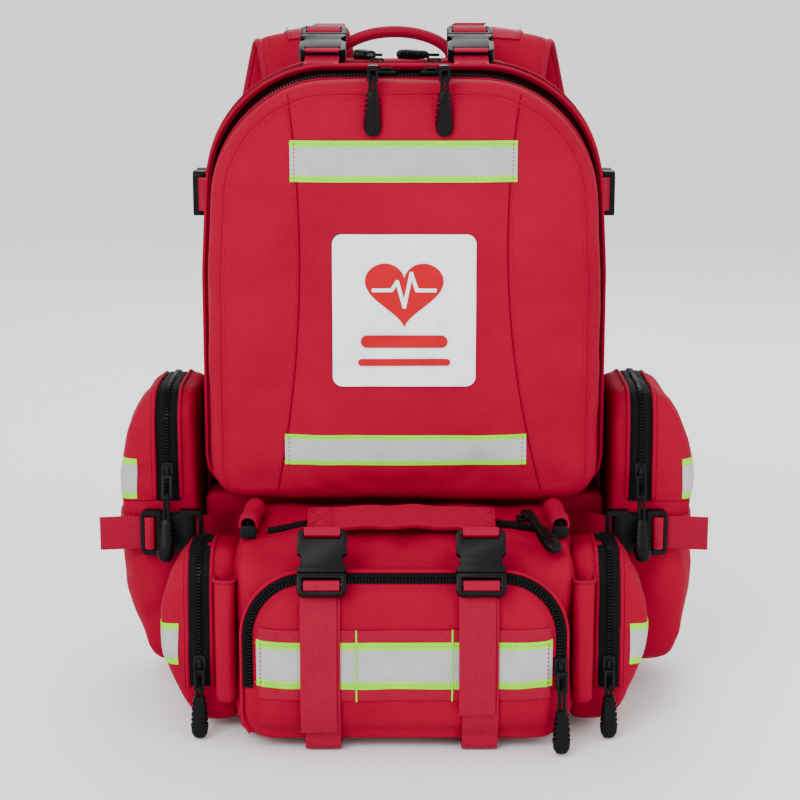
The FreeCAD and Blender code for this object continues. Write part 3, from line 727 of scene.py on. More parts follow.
def rumple(obj, amount, scale, where=None):
    """Small wrinkles along the normals."""
    mesh = obj.data
    normals = [v.normal.copy() for v in mesh.vertices]
    for v, n in zip(mesh.vertices, normals):
        p = v.co / MM
        k = where(p) if where else 1.0
        v.co += n * (ruffle(p, scale, amount * k) * MM)


def arch_line(dims, y, above, inset=0.0, step=3.0):
    """Points up the right side, over the top and down the left, with outward normals."""
    rows = [r for r in arch_rows(*dims, inset, step) if r[0] >= above]
    line = [Vector((w, y, z)) for z, w in rows] + [Vector((-w, y, z)) for z, w in reversed(rows)]
    line = spread(line, step)
    normals = []
    for i in range(len(line)):
        way = line[min(i + 1, len(line) - 1)] - line[max(i - 1, 0)]
        normals.append(Y.cross(way.normalized()))
    return line, normals


def arch_zip(name, dims, y, above, half_width, body, node, inset=1.5):
    """A zip round the arched outline, from a height upwards."""
    line, normals = arch_line(dims, y, above, inset)
    build = Build("zip", "coil")
    zip_track(build, [(p, n, Y) for p, n in zip(line, normals)], half_width)
    piece(name, build, body, [node])


def arch_piping(build, dims, y, above, radius, lift=0.4, slot=0):
    """A corded seam round the arched outline."""
    line, normals = arch_line(dims, y, above, 0.0, 5.0)
    build.tube([p + n * lift for p, n in zip(line, normals)], radius, slot, sides=6, up=Y)


def panel_seam(side, z):
    """Where the lid's centre panel ends: nearer the middle half-way up, and widest at the foot."""
    top, middle, foot = (82.0, 75.0, 92.0) if side < 0 else (82.0, 75.0, 100.0)
    t, m = (454.0 - z) / 289.0, 0.51
    return side * (top * (t - m) * (t - 1) / m + middle * t * (t - 1) / (m * (m - 1)) + foot * t * (t - m) / (1 - m))


def lid_held(p):
    """How firmly the lid's cloth is held: at its rim and along its panel seams."""
    if p.y > LID_Y0 + 11:
        return 1.0
    rim = depth_in(LID, p.x, p.z)
    seam = min(abs(p.x - panel_seam(s, p.z)) for _, s in SIDES)
    near = min(seam, rim - 7.0)
    return max(0.0, min(1.0, 1.6 - near / 3.0))


def front_lid():
    """The front lid: a padded tray with two panel seams, bands and patch."""
    stations = rounding(10.5, LID_Y0, 1) + [(0, LID_Y0 + 15), (0, LID_Y0 + 20), (0, LID_Y1)]
    obj = arch_object("front_lid_shell", LID, stations, 48, -Y)
    inflate(obj, lid_held, cap=5.5)
    rumple(obj, 1.9, 46.0, lambda p: 1.0 if p.y < LID_Y0 + 12 else 0.3)
    rumple(obj, 0.8, 15.0, lambda p: 1.0 if p.y < LID_Y0 + 12 else 0.5)
    finer(obj)
    skin = Skin(obj)
    thicker(obj)
    adopt(obj, "front_lid", ["front_lid"])

    build = Build("lining_and_seam_shade", "thread", "red")
    for _, side in SIDES:
        zs = [168 + (451 - 168) * k / 56 for k in range(57)]
        line = [Vector((panel_seam(side, z), LID_Y0, z)) for z in zs]
        # the thin tube in the lining's deeper red along each panel seam is painted shade: a dark line standing in for
        # the shadow in the seam's valley
        build.tube([h + n * 0.1 for h, n in map(skin.front, line)], 0.55, 0, sides=5, up=Y)
        sewn(build, [skin.front(p + X * (side * 2.6)) for p in line])
    rim, _ = arch_line(LID, LID_Y0, 170, 9.0, 4.0)
    build.tube([h + n * 0.1 for h, n in map(skin.front, rim)], 0.8, 2, sides=6, up=Y)
    rim, _ = arch_line(LID, LID_Y0, 170, 12.0, 4.0)
    sewn(build, [skin.front(p) for p in rim])
    arch_piping(build, LID, LID_Y1 + 0.2, 166, 1.2, 0.2, 2)
    piece("front_lid_seams", build, "front_lid")
    lid_bands(skin)
    patch(skin)


LIME_SHARE = 0.17                    # of a band's width, along each edge


def tape_on(build, skin, line, way, half, lift):
    """Silver tape (slot 0) between lime edges (slot 1), laid on a skin along a line."""
    edge = half * 2 * LIME_SHARE
    for low, high, slot, more in ((-half, -half + edge, 1, 0.0), (half - edge, half, 1, 0.0),
                                  (-half + edge - 0.4, half - edge + 0.4, 0, 0.15)):
        points, normals = laid(skin, line, Z, [low + (high - low) * k / 3 for k in range(4)], way)
        build.slab(points, evened(normals), lift + more, 0.55, slot)


def band_rows(skin, x0, x1, z0, z1, y, steps=40):
    """A band on a surface that faces -Y, sewn along its edges and ends."""
    build = Build("silver", "lime", "lime_thread", "thread")
    half = (z1 - z0) / 2
    edge = half * 2 * LIME_SHARE
    line = [Vector((x0 + (x1 - x0) * k / steps, y, (z0 + z1) / 2)) for k in range(steps + 1)]
    tape_on(build, skin, line, Y, half, 0.15)
    for offset in (-half + edge * 0.45, half - edge * 0.45):
        points, normals = laid(skin, line, Z, [offset], Y)
        stitches(build, [p[0] for p in points], [n[0] for n in normals], 2.4, 1.3, 2, 0.75)
    for x in (x0 + 3.0, x1 - 3.0):
        upright = [skin.front(Vector((x, y, z0 + (z1 - z0) * k / 6))) for k in range(7)]
        sewn(build, upright, 3.0, 1.8, slot=3, lift=0.85)
    return build


def lid_bands(skin):
    """The two reflective bands across the lid."""
    top = band_rows(skin, -80.5, 79.5, 390.5, 419.5, LID_Y0)
    piece("lid_band_upper", top, "front_lid", ["lid_bands"])
    foot = band_rows(skin, -86, 88, 187, 209, LID_Y0)
    piece("lid_band_lower", foot, "front_lid")


def patch(skin):
    """A white sheet with round corners, printed with a heart and a pulse line over two plain bars."""
    low, high = box_mm("patch")
    mid, half, tall, radius = (low + high) / 2, (high.x - low.x) / 2, (high.z - low.z) / 2, 7.0
    build = Build("vinyl", "print", "thread")

    def at(u, w):
        """The lid's surface at a place measured from the patch's middle, as (place, normal)."""
        return skin.front(Vector((mid.x + u, low.y, mid.z + w)))

    rows = []
    for k in range(7):
        t = math.pi / 2 * k / 6
        rows.append((-tall + radius * (1 - math.cos(t)), half - radius * (1 - math.sin(t))))
    rows += [(-tall + radius + (2 * tall - 2 * radius) * k / 12, half) for k in range(1, 12)]
    rows += [(-z, w) for z, w in reversed(rows[:7])]
    hits = [[at(w * (j / 8 - 1), z) for j in range(17)] for z, w in rows]
    mean = sum((n for row in hits for _, n in row), Vector()).normalized()
    build.slab([[h for h, _ in row] for row in hits], [[mean] * 17 for _ in rows], 0.5, 0.5, 0)

    def printed(points):
        """A flat printed shape, as a fan from its middle."""
        centre = sum((Vector(p) for p in points), Vector((0, 0))) / len(points)
        rings = []
        for t in (0.0, 0.25, 0.5, 0.75, 1.0):
            ring = []
            for p in points:
                spot = centre.lerp(Vector(p), t)
                ring.append(at(spot.x, spot.y)[0] - Y * 1.5)
            rings.append(ring)
        build.grid(rings, 1, closed=True, flip=True)

    heart = []
    for k in range(48):
        t = 2 * math.pi * k / 48
        u = 16 * math.sin(t) ** 3
        w = 13 * math.cos(t) - 5 * math.cos(2 * t) - 2 * math.cos(3 * t) - math.cos(4 * t)
        heart.append((u * 1.75, w * 1.6 + 15))
    printed(heart)
    beat = [(-22, 15), (-9, 15), (-5, 21), (0, 3), (5, 27), (9, 15), (22, 15)]
    for a, b in zip(beat, beat[1:]):
        p, q = (at(*spot)[0] - Y * 1.75 for spot in (a, b))
        way = q - p
        side = way.cross(Y).normalized()
        build.block((p + q) / 2, way * 0.5 + way.normalized() * 0.9, side * 1.3, Y * 0.3, 0)
    for half_u, w, half_w in ((31, -22, 4.6), (33, -37, 2.6)):
        bar = rounded([(-half_u, w - half_w), (half_u, w - half_w), (half_u, w + half_w), (-half_u, w + half_w)],
                      [half_w * 0.98] * 4, 1.2)
        printed([(p.x, p.y) for p in bar])
    piece("patch_sheet", build, "front_lid", ["patch"])


def main_flap():
    """The tray between the two zips, with the front compartment's floor."""
    stations = rounding(3.5, FLAP_Y1, -1, 2) + [(0, FLAP_Y1 - 12), (0, FLAP_Y1 - 20), (0, FLAP_Y1 - 27), (0, FLAP_Y0)]
    obj = arch_object("main_flap_shell", FLAP, stations, 44, Y)
    rumple(obj, 2.0, 34.0, lambda p: 0.0 if p.y > FLAP_Y1 - 4 or p.y < FLAP_Y0 + 1 else 1.0)
    finer(obj)
    thicker(obj)
    adopt(obj, "main_flap", ["main_flap"])
    build = Build("red", "thread", "binding")
    arch_piping(build, FLAP, FLAP_Y0 + 0.2, 166, 1.5, 0.3, 0)
    arch_piping(build, FLAP, FLAP_Y1 - 1.5, 166, 1.5, 0.3, 0)
    line, normals = arch_line(FLAP, FLAP_Y0 + 4.5, 170)
    stitches(build, line, normals, slot=1, lift=0.4)
    piece("main_flap_seams", build, "main_flap")
    zip_dims = (LID[0], FLAP[1], LID[2] + 3, LID[3], FLAP[4])
    arch_zip("front_zip_track", zip_dims, (LID_Y1 + FLAP_Y0) / 2, 200, 5.2, "main_flap", "front_zip", 1.2)


def main_shell():
    """The rear compartment and the base in front of its foot; returns the compartment's surface."""
    stations = rounding(10, SHELL_Y1, -1) + [(0, y) for y in (60, 48, 36, 24, 12, 0, -9, MAIN_Y)]
    obj = arch_object("main_shell_rear", SHELL, stations, 40, Y)

    def held(p):
        return 1.0 if p.y > SHELL_Y1 - 4 or p.y < MAIN_Y + 3 or p.z < 30 else 0.0

    inflate(obj, held, cap=2.0)
    rumple(obj, 1.7, 34.0, lambda p: 0.0 if p.y > SHELL_Y1 - 2 or p.z < 4 else 1.0)
    finer(obj)
    above_floor(obj)
    skin = Skin(obj)
    thicker(obj)
    adopt(obj, "pack", ["main_shell"])

    stations = rounding(3.5, BASE_Y, 1) + [(0, y) for y in (-38, -28, MAIN_Y)]
    base = arch_object("main_shell_base", BASE, stations, 40, -Y)
    rumple(base, 1.2, 30.0, lambda p: 0.0 if p.z < 4 else 1.0)
    finer(base)
    above_floor(base)
    thicker(base, even=False)
    adopt(base, "pack")

    build = Build("red", "thread")
    arch_piping(build, SHELL, MAIN_Y + 0.6, 4, 1.5, 0.2, 0)
    line, normals = arch_line(SHELL, MAIN_Y + 5, 160)
    stitches(build, line, normals, slot=1, lift=0.5)
    arch_piping(build, SHELL, SHELL_Y1 - 6, 4, 1.3, -1.0, 0)
    piece("main_shell_seams", build, "pack")
    arch_zip("main_zip_track", SHELL, (MAIN_Y + FLAP_Y1) / 2, 170, 5.6, "pack", "main_zip", 1.6)
    return skin


def above_floor(obj, low=0.15):
    """Keeps a soft mesh's vertices above the floor."""
    for v in obj.data.vertices:
        v.co.z = max(v.co.z, low * MM)


# ---- hardware -----------------------------------------------------------------------------------
def hard(node, body, material="plastic", keep=None, edge=0.5, name=None):
    """A copy of a CAD node with its edges rounded, or of those of its solids that keep(centre, size) picks."""
    bm = bmesh.new()
    bm.from_mesh(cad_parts[node].data)
    bmesh.ops.remove_doubles(bm, verts=bm.verts, dist=0.004 * MM)
    if keep:
        seen, drop = set(), []
        for v in bm.verts:
            if v in seen:
                continue
            island, stack = [], [v]
            seen.add(v)
            while stack:
                w = stack.pop()
                island.append(w)
                for e in w.link_edges:
                    other = e.other_vert(w)
                    if other not in seen:
                        seen.add(other)
                        stack.append(other)
            low = Vector([min(w.co[i] for w in island) for i in range(3)]) / MM
            high = Vector([max(w.co[i] for w in island) for i in range(3)]) / MM
            if not keep((low + high) / 2, high - low):
                drop += island
        bmesh.ops.delete(bm, geom=drop, context="VERTS")
    bmesh.ops.dissolve_limit(bm, angle_limit=math.radians(2), verts=bm.verts, edges=bm.edges)
    mesh = bpy.data.meshes.new(name or node + "_moulded")
    bm.to_mesh(mesh)
    bm.free()
    mesh.materials.append(MATS[material])
    obj = new_object(mesh.name, mesh)
    bevel = obj.modifiers.new("edges", "BEVEL")
    bevel.width, bevel.segments = edge * MM, 2
    bevel.limit_method, bevel.angle_limit = "ANGLE", math.radians(32)
    modified(obj)
    obj.data.shade_smooth()
    obj.data.set_sharp_from_angle(angle=math.radians(38))
    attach(obj, body)
    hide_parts(node)
    return obj


def placing(at, *turns):
    """A matrix that turns about each (axis, degrees) in order, then moves."""
    m = Matrix.Identity(4)
    for axis, degrees in turns:
        m = Matrix.Rotation(math.radians(degrees), 4, axis) @ m
    return Matrix.Translation(at) @ m


def moved(build, matrix, start=0):
    """Moves what a Build holds from a vertex on."""
    for i in range(start, len(build.verts)):
        build.verts[i] = matrix @ build.verts[i]


GRIP_W = ((0.0, 3.4), (2.5, 4.7), (12.0, 5.8), (22.0, 6.3), (27.0, 5.7), (30.0, 3.9), (31.0, 1.8))
GRIP_T = ((0.0, 2.8), (4.0, 3.4), (20.0, 4.0), (27.0, 3.7), (30.2, 2.4), (31.0, 1.0))


def between(table, at):
    """A value read off a table of (place, value)."""
    for (a, u), (b, v) in zip(table, table[1:]):
        if at <= b:
            return u + (v - u) * (at - a) / (b - a)
    return table[-1][1]


def pull(name, matrix, tab_l, cord_l, body, nodes=()):
    """A flat tab, a doubled cord through its eye, and a ribbed grip, hanging down from the matrix's place."""
    build = Build("enamel", "cord", "rubber")
    for side in (-1, 1):
        build.block(Vector((side * 3.0, 0, (1.6 - tab_l) / 2)), X * 0.9, Y * 1.0, Z * ((1.6 + tab_l) / 2), 0)
    build.block(Vector((0, 0, 0.9)), X * 3.6, Y * 1.1, Z * 0.8, 0)
    build.block(Vector((0, 0, -tab_l + 0.7)), X * 3.9, Y * 1.1, Z * 0.9, 0)
    end = -tab_l - cord_l
    loop = [Vector((-1.7, 0.4, end - 2)), Vector((-1.7, 0.5, end + 1)), Vector((-1.6, 0.9, -tab_l - 1)),
            Vector((-1.3, 1.9, -tab_l + 1.4)), Vector((0, 0.4, -tab_l + 3.1)), Vector((1.3, -1.9, -tab_l + 1.4)),
            Vector((1.6, -0.9, -tab_l - 1)), Vector((1.7, -0.5, end + 1)), Vector((1.7, -0.4, end - 2))]
    build.tube(softened(loop), 1.35, 1, sides=8, up=X)
    rows = []
    for k in range(63):
        at = k / 2
        w, t = between(GRIP_W, at), between(GRIP_T, at)
        phase = (at - 4.5) / 3.6
        notched = -0.3 < phase < 4.3 and abs(phase - round(phase)) < 0.22
        ring = []
        for j in range(20):
            a = 2 * math.pi * j / 20
            c, s = math.cos(a), math.sin(a)
            u = min(abs(c) ** 0.7, 0.62) if notched else abs(c) ** 0.7
            ring.append(Vector((w * math.copysign(u, c), t * math.copysign(abs(s) ** 0.75, s), end - at)))
        rows.append(ring)
    build.grid(rows, 2, closed=True)
    build.polygon(rows[0], 2)
    build.polygon(list(reversed(rows[-1])), 2)
    moved(build, matrix)
    piece(name, build, body, nodes, smooth=48, welded=True)


def softened(path, times=2):
    """A polyline with its corners cut, twice by default."""
    for _ in range(times):
        out = [path[0]]
        for a, b in zip(path, path[1:]):
            out += [a.lerp(b, 0.25), a.lerp(b, 0.75)]
        path = out + [path[-1]]
    return path


def flat_strap(build, path, across, half=WEB / 2, slot=0, thick=WEB_T, soft=2):
    """A flat strap along a path of centre points, with one direction across it."""
    line = spread(softened([Vector(p) for p in path], soft), 3.0)
    points, normals = [], []
    for i, p in enumerate(line):
        way = (line[min(i + 1, len(line) - 1)] - line[max(i - 1, 0)]).normalized()
        n = across.cross(way).normalized()
        points.append([p + across * (half * k / 2) for k in range(-2, 3)])
        normals.append([n] * 5)
    build.slab(points, normals, -thick / 2, thick, slot)
    return points, normals


def skin_strap(build, skin, line, across, way, half=WEB / 2, lift=0.2, slot=0, thick=WEB_T):
    """Webbing laid on a skin along a line."""
    offsets = [half * k / 3 for k in range(-3, 4)]
    points, normals = laid(skin, line, across, offsets, way)
    normals = evened(normals)
    build.slab(points, normals, lift, thick, slot)
    return points, normals


def box_stitch(build, centre, u, v, n):
    """A sewn box, crossed corner to corner: u and v are its half sides."""
    c = [centre + u * a + v * b for a, b in ((-1, -1), (1, -1), (1, 1), (-1, 1))]
    runs = [(c[i], c[(i + 1) % 4]) for i in range(4)] + [(c[0], c[2]), (c[1], c[3])]
    for a, b in runs:
        stitches(build, [a, b], [n, n], 2.6, 1.8, 1, 0.15)


TOP_BUCKLE_X = (-60.0, 49.0)
TOP_SLOPE = 23.0
SIDE_Z = 373.0
STRAP_X = (-56.5, 52.5)
BUCKLE_SLOPE = 30.0


def latch_web(build, matrix, face=-1):
    """The webbing that shows where it passes over a latch's middle bar; face is the side seen, along local Y."""
    start = len(build.verts)
    path = [Vector((0, face * y, z)) for y, z in ((-1.5, 5.4), (3.6, 5.6), (5.1, 8.2), (5.1, 11.0), (3.6, 13.2),
                                                  (-1.5, 13.4))]
    flat_strap(build, path, X, 12.3, 0, 1.3, 1)
    moved(build, matrix, start)


def socket_web(build, matrix, face=-1):
    """The webbing folded over a socket's bar."""
    start = len(build.verts)
    path = [Vector((0, face * y, z)) for y, z in ((-1.0, -25.4), (4.2, -25.6), (5.3, -28.4), (4.0, -31.4))]
    flat_strap(build, path, X, 12.3, 0, 1.3, 1)
    moved(build, matrix, start)


# ---- side pouches -------------------------------------------------------------------------------
def outline_frames(points, radii, plane, at, step=4.0):
    """Points round a rounded outline in the 'xy' or 'yz' plane, with inward normals."""
    ring = rounded(points, radii, 4.0)
    ring = [Vector((p.x, p.y, 0)) for p in ring]
    ring = spread(ring + ring[:1], step)[:-1]
    middle = sum(ring, Vector()) / len(ring)
    frames = []
    for i, p in enumerate(ring):
        way = (ring[(i + 1) % len(ring)] - ring[i - 1]).normalized()
        inward = Vector((-way.y, way.x, 0))
        if inward.dot(middle - p) < 0:
            inward = -inward
        out = []
        for v in (p, inward):
            out.append(Vector((v.x, v.y, 0)) if plane == "xy" else Vector((0, v.x, v.y)))
        out[0] += (Z if plane == "xy" else X) * at
        frames.append(out)
    return frames


def joined(name, *objs):
    """One object from several, with touching vertices welded."""
    bm = bmesh.new()
    for obj in objs:
        bm.from_mesh(obj.data)
    bmesh.ops.remove_doubles(bm, verts=bm.verts, dist=0.05 * MM)
    mesh = bpy.data.meshes.new(name)
    bm.to_mesh(mesh)
    bm.free()
    for m in objs[0].data.materials:
        mesh.materials.append(m)
    for obj in objs:
        bpy.data.objects.remove(obj)
    return new_object(name, mesh)


def pouch(tag, side):
    """A side pouch: tub, zipped cover, tape, band, strap and buckle."""
    low, high = box_mm("pouch_" + tag)
    y0, y1, z0, z1 = low.y, high.y, low.z, high.z
    # the right pouch is the fuller one, at its foot most of all
    foot, swell, belly, brow = (193, 203, 211, 204) if side < 0 else (209, 212, 216, 209)
    front = [(153.4, z0), (foot, z0), (swell, 75), (belly - 1, 128), (belly, 168), (brow, 205), (193, z1),
             (153.4, z1)]
    front_r = [3, 12, 60, 60, 40, 40, 16, 3]
    front = [(p.x * side, p.y) for p in rounded(front, front_r)]
    profile = rounded([(y0, z0), (y1, z0), (y1, z1), (y0, z1)], [10, 10, 24, 24])
    obj = crossed("pouch_" + tag + "_form", front, [(p.x, p.y) for p in profile], ((y0, y1), (-240, 240)))

    def held(p):
        x = abs(p.x)
        if x < 158:
            return 1.0
        seam = min(abs(x - 167), abs(x - 185)) if p.z > 146 else 30.0
        seam = min(seam, abs(p.z - 150) + (0 if x > 185 else 30))
        return max(0.0, min(1.0, 1.5 - seam / 4.0))

    inflate(obj, held, cap=6.0)
    rumple(obj, 4.0, 38.0, lambda p: 0.0 if abs(p.x) < 158 else (1.0 if p.z < 120 else 0.45))
    rumple(obj, 0.9, 13.0, lambda p: 0.0 if abs(p.x) < 158 else 1.0)
    finer(obj)
    skin = Skin(obj)
    zip_in, zip_out, fold = (167.0 * side, 0, 0), (185.0 * side, 0, 0), (0, 0, 150.0)
    out = Vector((side, 0, 0))
    tub_low = cut_region(obj, "low", [(fold, Z)])
    tub_high = cut_region(obj, "high", [(fold, -Z), (zip_in, out)])
    tub = joined(f"pouch_{tag}_tub", tub_low, tub_high)
    strip = cut_region(obj, f"pouch_{tag}_tape", [(fold, -Z), (zip_in, -out), (zip_out, out)])
    cover = cut_region(obj, f"pouch_{tag}_cover_cloth", [((0, 0, 150.3), -Z), (zip_out, -out)])
    bpy.data.objects.remove(obj)
    for shell, body, node in ((tub, "pack", "pouch_"), (cover, "pouch_cover_" + tag, "pouch_cover_")):
        thicker(shell)
        adopt(shell, body, [node + tag], smooth=60)
    strip.data.materials.clear()
    strip.data.materials.append(MATS["zip"])
    strip.data.materials.append(MATS["zip"])
    inward = [v.normal * (-0.9 * MM) for v in strip.data.vertices]
    for v, step in zip(strip.data.vertices, inward):
        v.co += step
    thicker(strip, 1.2)
    adopt(strip, "pack", ["pouch_zips"], smooth=60)

    # coil along the middle of the tape, and piping at its two edges
    frames = outline_frames([(y0, z0), (y1, z0), (y1, z1), (y0, z1)], [10, 10, 24, 24], "yz", 0.0, 3.0)
    ring = [f for f in frames if f[0].z > 152]
    ring.sort(key=lambda f: math.atan2(f[0].z - 150, -(f[0].y - (y0 + y1) / 2)))

    def over(x):
        return [skin.drop(p + X * x - n * 20, n) for p, n in ring]

    mid = over(176.0 * side)
    build = Build("zip", "coil")
    zip_track(build, [(h - n * 0.6, n, X) for h, n in mid], 6.2)
    piece(f"pouch_{tag}_coil", build, "pack")
    for x, body, suffix in ((166.4, "pack", "tub"), (185.8, "pouch_cover_" + tag, "cover")):
        build = Build("red", "thread")
        hits = over(x * side)
        build.tube([h + n * 0.5 for h, n in hits], 1.5, 0, sides=6, up=X)
        away = -2.8 if suffix == "tub" else 2.8
        hits = over((x + away) * side)
        sewn(build, hits, lift=0.3)
        piece(f"pouch_{tag}_{suffix}_piping", build, body)

    # reflective band round the outer corner of the cover, above the fold
    build = Build("silver", "lime", "lime_thread")
    line, ways = radial(skin, (180, -12), side, -70 if side < 0 else -63, 58, 167)
    tape_on(build, skin, line, ways, 15.0, 0.1)
    piece(f"pouch_{tag}_band", build, "pouch_cover_" + tag, ["pouch_band_" + tag])

    # compression strap round the pouch
    build = Build("webbing", "thread")
    outline = [(150, y1 + 4), (227, y1 + 4), (227, y0 - 6), (150, y0 - 6)]
    frames = outline_frames([(x * side, y) for x, y in outline], [4, 26, 26, 4], "xy", 128.0, 3.0)
    loop = [f for f in frames if abs(f[0].x) > 158 and not (f[0].y < y0 - 3 and abs(f[0].x) < 199)]
    loop.sort(key=lambda f: math.atan2(f[0].y - 0, (abs(f[0].x) - 158)))
    points, normals = laid(skin, [f[0] for f in loop], Z, [12.5 * k / 3 for k in range(-3, 4)], [f[1] for f in loop])
    normals = evened(normals)
    build.slab(points, normals, 0.2, WEB_T, 0)
    by = y0 - 6.7
    flat_strap(build, [(154.6 * side, by, 128), (147 * side, by, 128), (127 * side, -51.4, 128),
                       (118.5 * side, -51.4, 128)], -Z * side)
    piece(f"pouch_{tag}_strap", build, "pack", ["pouch_straps"])
    tail = Build("webbing")
    flat_strap(tail, [(193 * side, by, 128), (203 * side, by - 1.2, 128), (212 * side, by - 2.8, 128),
                      (low_x(box_mm("pouch_latch_" + tag), side), by - 5.0, 128)], -Z * side)
    mouth = placing(Vector((180.0 * side, by, 128.0)), ("Y", 90 * side))
    latch_web(tail, mouth)
    piece(f"pouch_{tag}_tail", tail, "pouch_latch_" + tag)
    hard("pouch_latch_" + tag, "pouch_latch_" + tag, keep=lambda c, s: abs(c.x) < 196)
    hard("pouch_slider_" + tag, "pouch_slider_" + tag, "enamel")
    slow, shigh = box_mm("pouch_slider_" + tag)
    at = Vector(((slow.x + shigh.x) / 2, slow.y - 2.0, (slow.z + shigh.z) / 2 - 3))
    pull(f"pouch_{tag}_pull_cord", placing(at, ("X", -18)), 15, 16, "pouch_pull_" + tag, ["pouch_pull_" + tag])


def radial(skin, middle, side, first, last, z):
    """A level line on a bag's skin, by rays in to its middle; angles run from outward (0) to the rear (90)."""
    line, ways = [], []
    for k in range(31):
        t = math.radians(first + (last - first) * k / 30)
        out = Vector((side * math.cos(t), math.sin(t), 0))
        at = Vector((middle[0] * side, middle[1], z))
        line.append(skin.drop(at + out * 90, -out)[0])
        ways.append(-out)
    return line, ways


def low_x(box, side):
    """The outer end of a box on one side of the pack."""
    return box[0].x if side < 0 else box[1].x


# ---- waist pack ---------------------------------------------------------------------------------
POCKET_FRONT = -192.0
POCKET = (113.0, 8.0, 130.0, 18.0, 46.0)


def waist_shell():
    """The waist pack's body and its top zip."""
    low, high = box_mm("waist_shell")
    back, fore = high.y, low.y
    front = rounded([(low.x, low.z), (high.x, low.z), (high.x, 152), (low.x, 152)], [12, 12, 14, 14])
    profile = rounded([(back, 2), (fore, 2), (fore, 126), (-158, 138), (-112, 148), (back, 150)],
                      [4, 12, 10, 14, 30, 10])
    obj = crossed("waist_shell_cloth", [(p.x, p.y) for p in front], [(p.x, p.y) for p in profile],
                  ((fore, back), (-130, 130)))

    def held(p):
        if p.y > back - 6 or p.z < 8:
            return 1.0
        seam = abs(p.y + 117) if p.z > 125 and abs(p.x) < 98 else 30.0
        return max(0.0, min(1.0, 1.5 - seam / 4.0))

    inflate(obj, held, cap=4.0)
    rumple(obj, 3.2, 30.0, lambda p: 0.0 if p.y > back - 6 or p.z < 6 else 1.0)
    rumple(obj, 0.8, 11.0, lambda p: 0.0 if p.y > back - 6 or p.z < 6 else 1.0)
    finer(obj)
    above_floor(obj, 1.9)
    skin = Skin(obj)
    adopt(obj, "pack", ["waist_shell"])
    build = Build("zip", "coil", "thread", "red")

    def over(dy):
        """The top surface along the zip, dy behind its middle."""
        xs = [-97 + 195 * k / 65 for k in range(66)]
        return [skin.drop(Vector((x, -117 - 13 * abs(x / 97) ** 3 + dy, 190)), -Z) for x in xs]

    zip_track(build, [(h + n * 1.5, n, Y) for h, n in over(0)], 7.2)
    for dy in (-7.4, 7.4):
        build.tube([h + n * 0.3 for h, n in over(dy)], 1.2, 3, sides=6, up=Y)
    for dy in (-10.4, 10.4):
        sewn(build, over(dy), slot=2)
    piece("waist_top_zip", build, "pack", ["waist_zips"])


def front_pocket():
    """The waist pack's front pocket, its zip, rows and band; returns its surface."""
    front = POCKET_FRONT
    stations = [(17, front), (13.5, front + 1.0), (11.2, front + 3.2), (10.2, front + 6.6), (5, front + 7.2),
                (1.4, front + 7.6), (0, front + 9.2), (0, front + 15), (0, front + 20.8)]
    obj = arch_object("front_pocket_cloth", POCKET, stations, 44, -Y)

    def held(p):
        rim = depth_in(POCKET, p.x, p.z) - 11.0
        return 1.0 if p.y > front + 2.5 else max(0.0, min(1.0, 1.3 - rim / 6.0))

    inflate(obj, held, cap=4.0)
    rumple(obj, 1.8, 26.0, lambda p: 1.0 if p.y < front + 2 else 0.0)
    finer(obj)
    skin = Skin(obj)
    adopt(obj, "pack", ["waist_pockets"])

    build = Build("zip", "coil", "red", "thread")
    rows, normals = arch_line(POCKET, front + 6.9, 46, 5.6, 2.6)
    zip_track(build, [(p, -Y, n) for p, n in zip(rows, normals)], 4.6)
    rim, rim_n = arch_line(POCKET, front + 8.4, 12, 0.0, 4.0)
    build.tube([p + n * 0.2 for p, n in zip(rim, rim_n)], 1.3, 2, sides=6, up=Y)
    piece("front_pocket_zip", build, "pack")

    # webbing rows and reflective tape, sewn down between and under the straps
    build = Build("webbing", "thread")
    for z, half in ((45.7, 3.9), (88.0, 4.3)):
        line = [Vector((-100 + 200 * k / 50, front, z)) for k in range(51)]
        skin_strap(build, skin, line, Z, Y, half, 0.1, 0, 1.1)
        for x in (-100, -88, -72, -40, -33, 33, 40, 72, 88, 100):
            pts = [skin.front(Vector((x, front, z + dz))) for dz in (-half * 0.8, half * 0.8)]
            stitches(build, [p + n * 1.2 for p, n in pts], [n for _, n in pts], 2.0, 1.4, 1, 0.1)
    piece("waist_rows", build, "pack")
    band = band_rows(skin, -102, 102, 49.7, 83.3, front, 50)
    for x in (-33.0, 33.0):
        hits = [skin.front(Vector((x, front, 41.5 + 51 * k / 34))) for k in range(35)]
        band.tube([h + n * (1.35 if k % 2 else 1.6) for k, (h, n) in enumerate(hits)], 0.62, 1, sides=6, up=X)
    piece("waist_band", band, "pack", ["waist_bands"])
    return skin


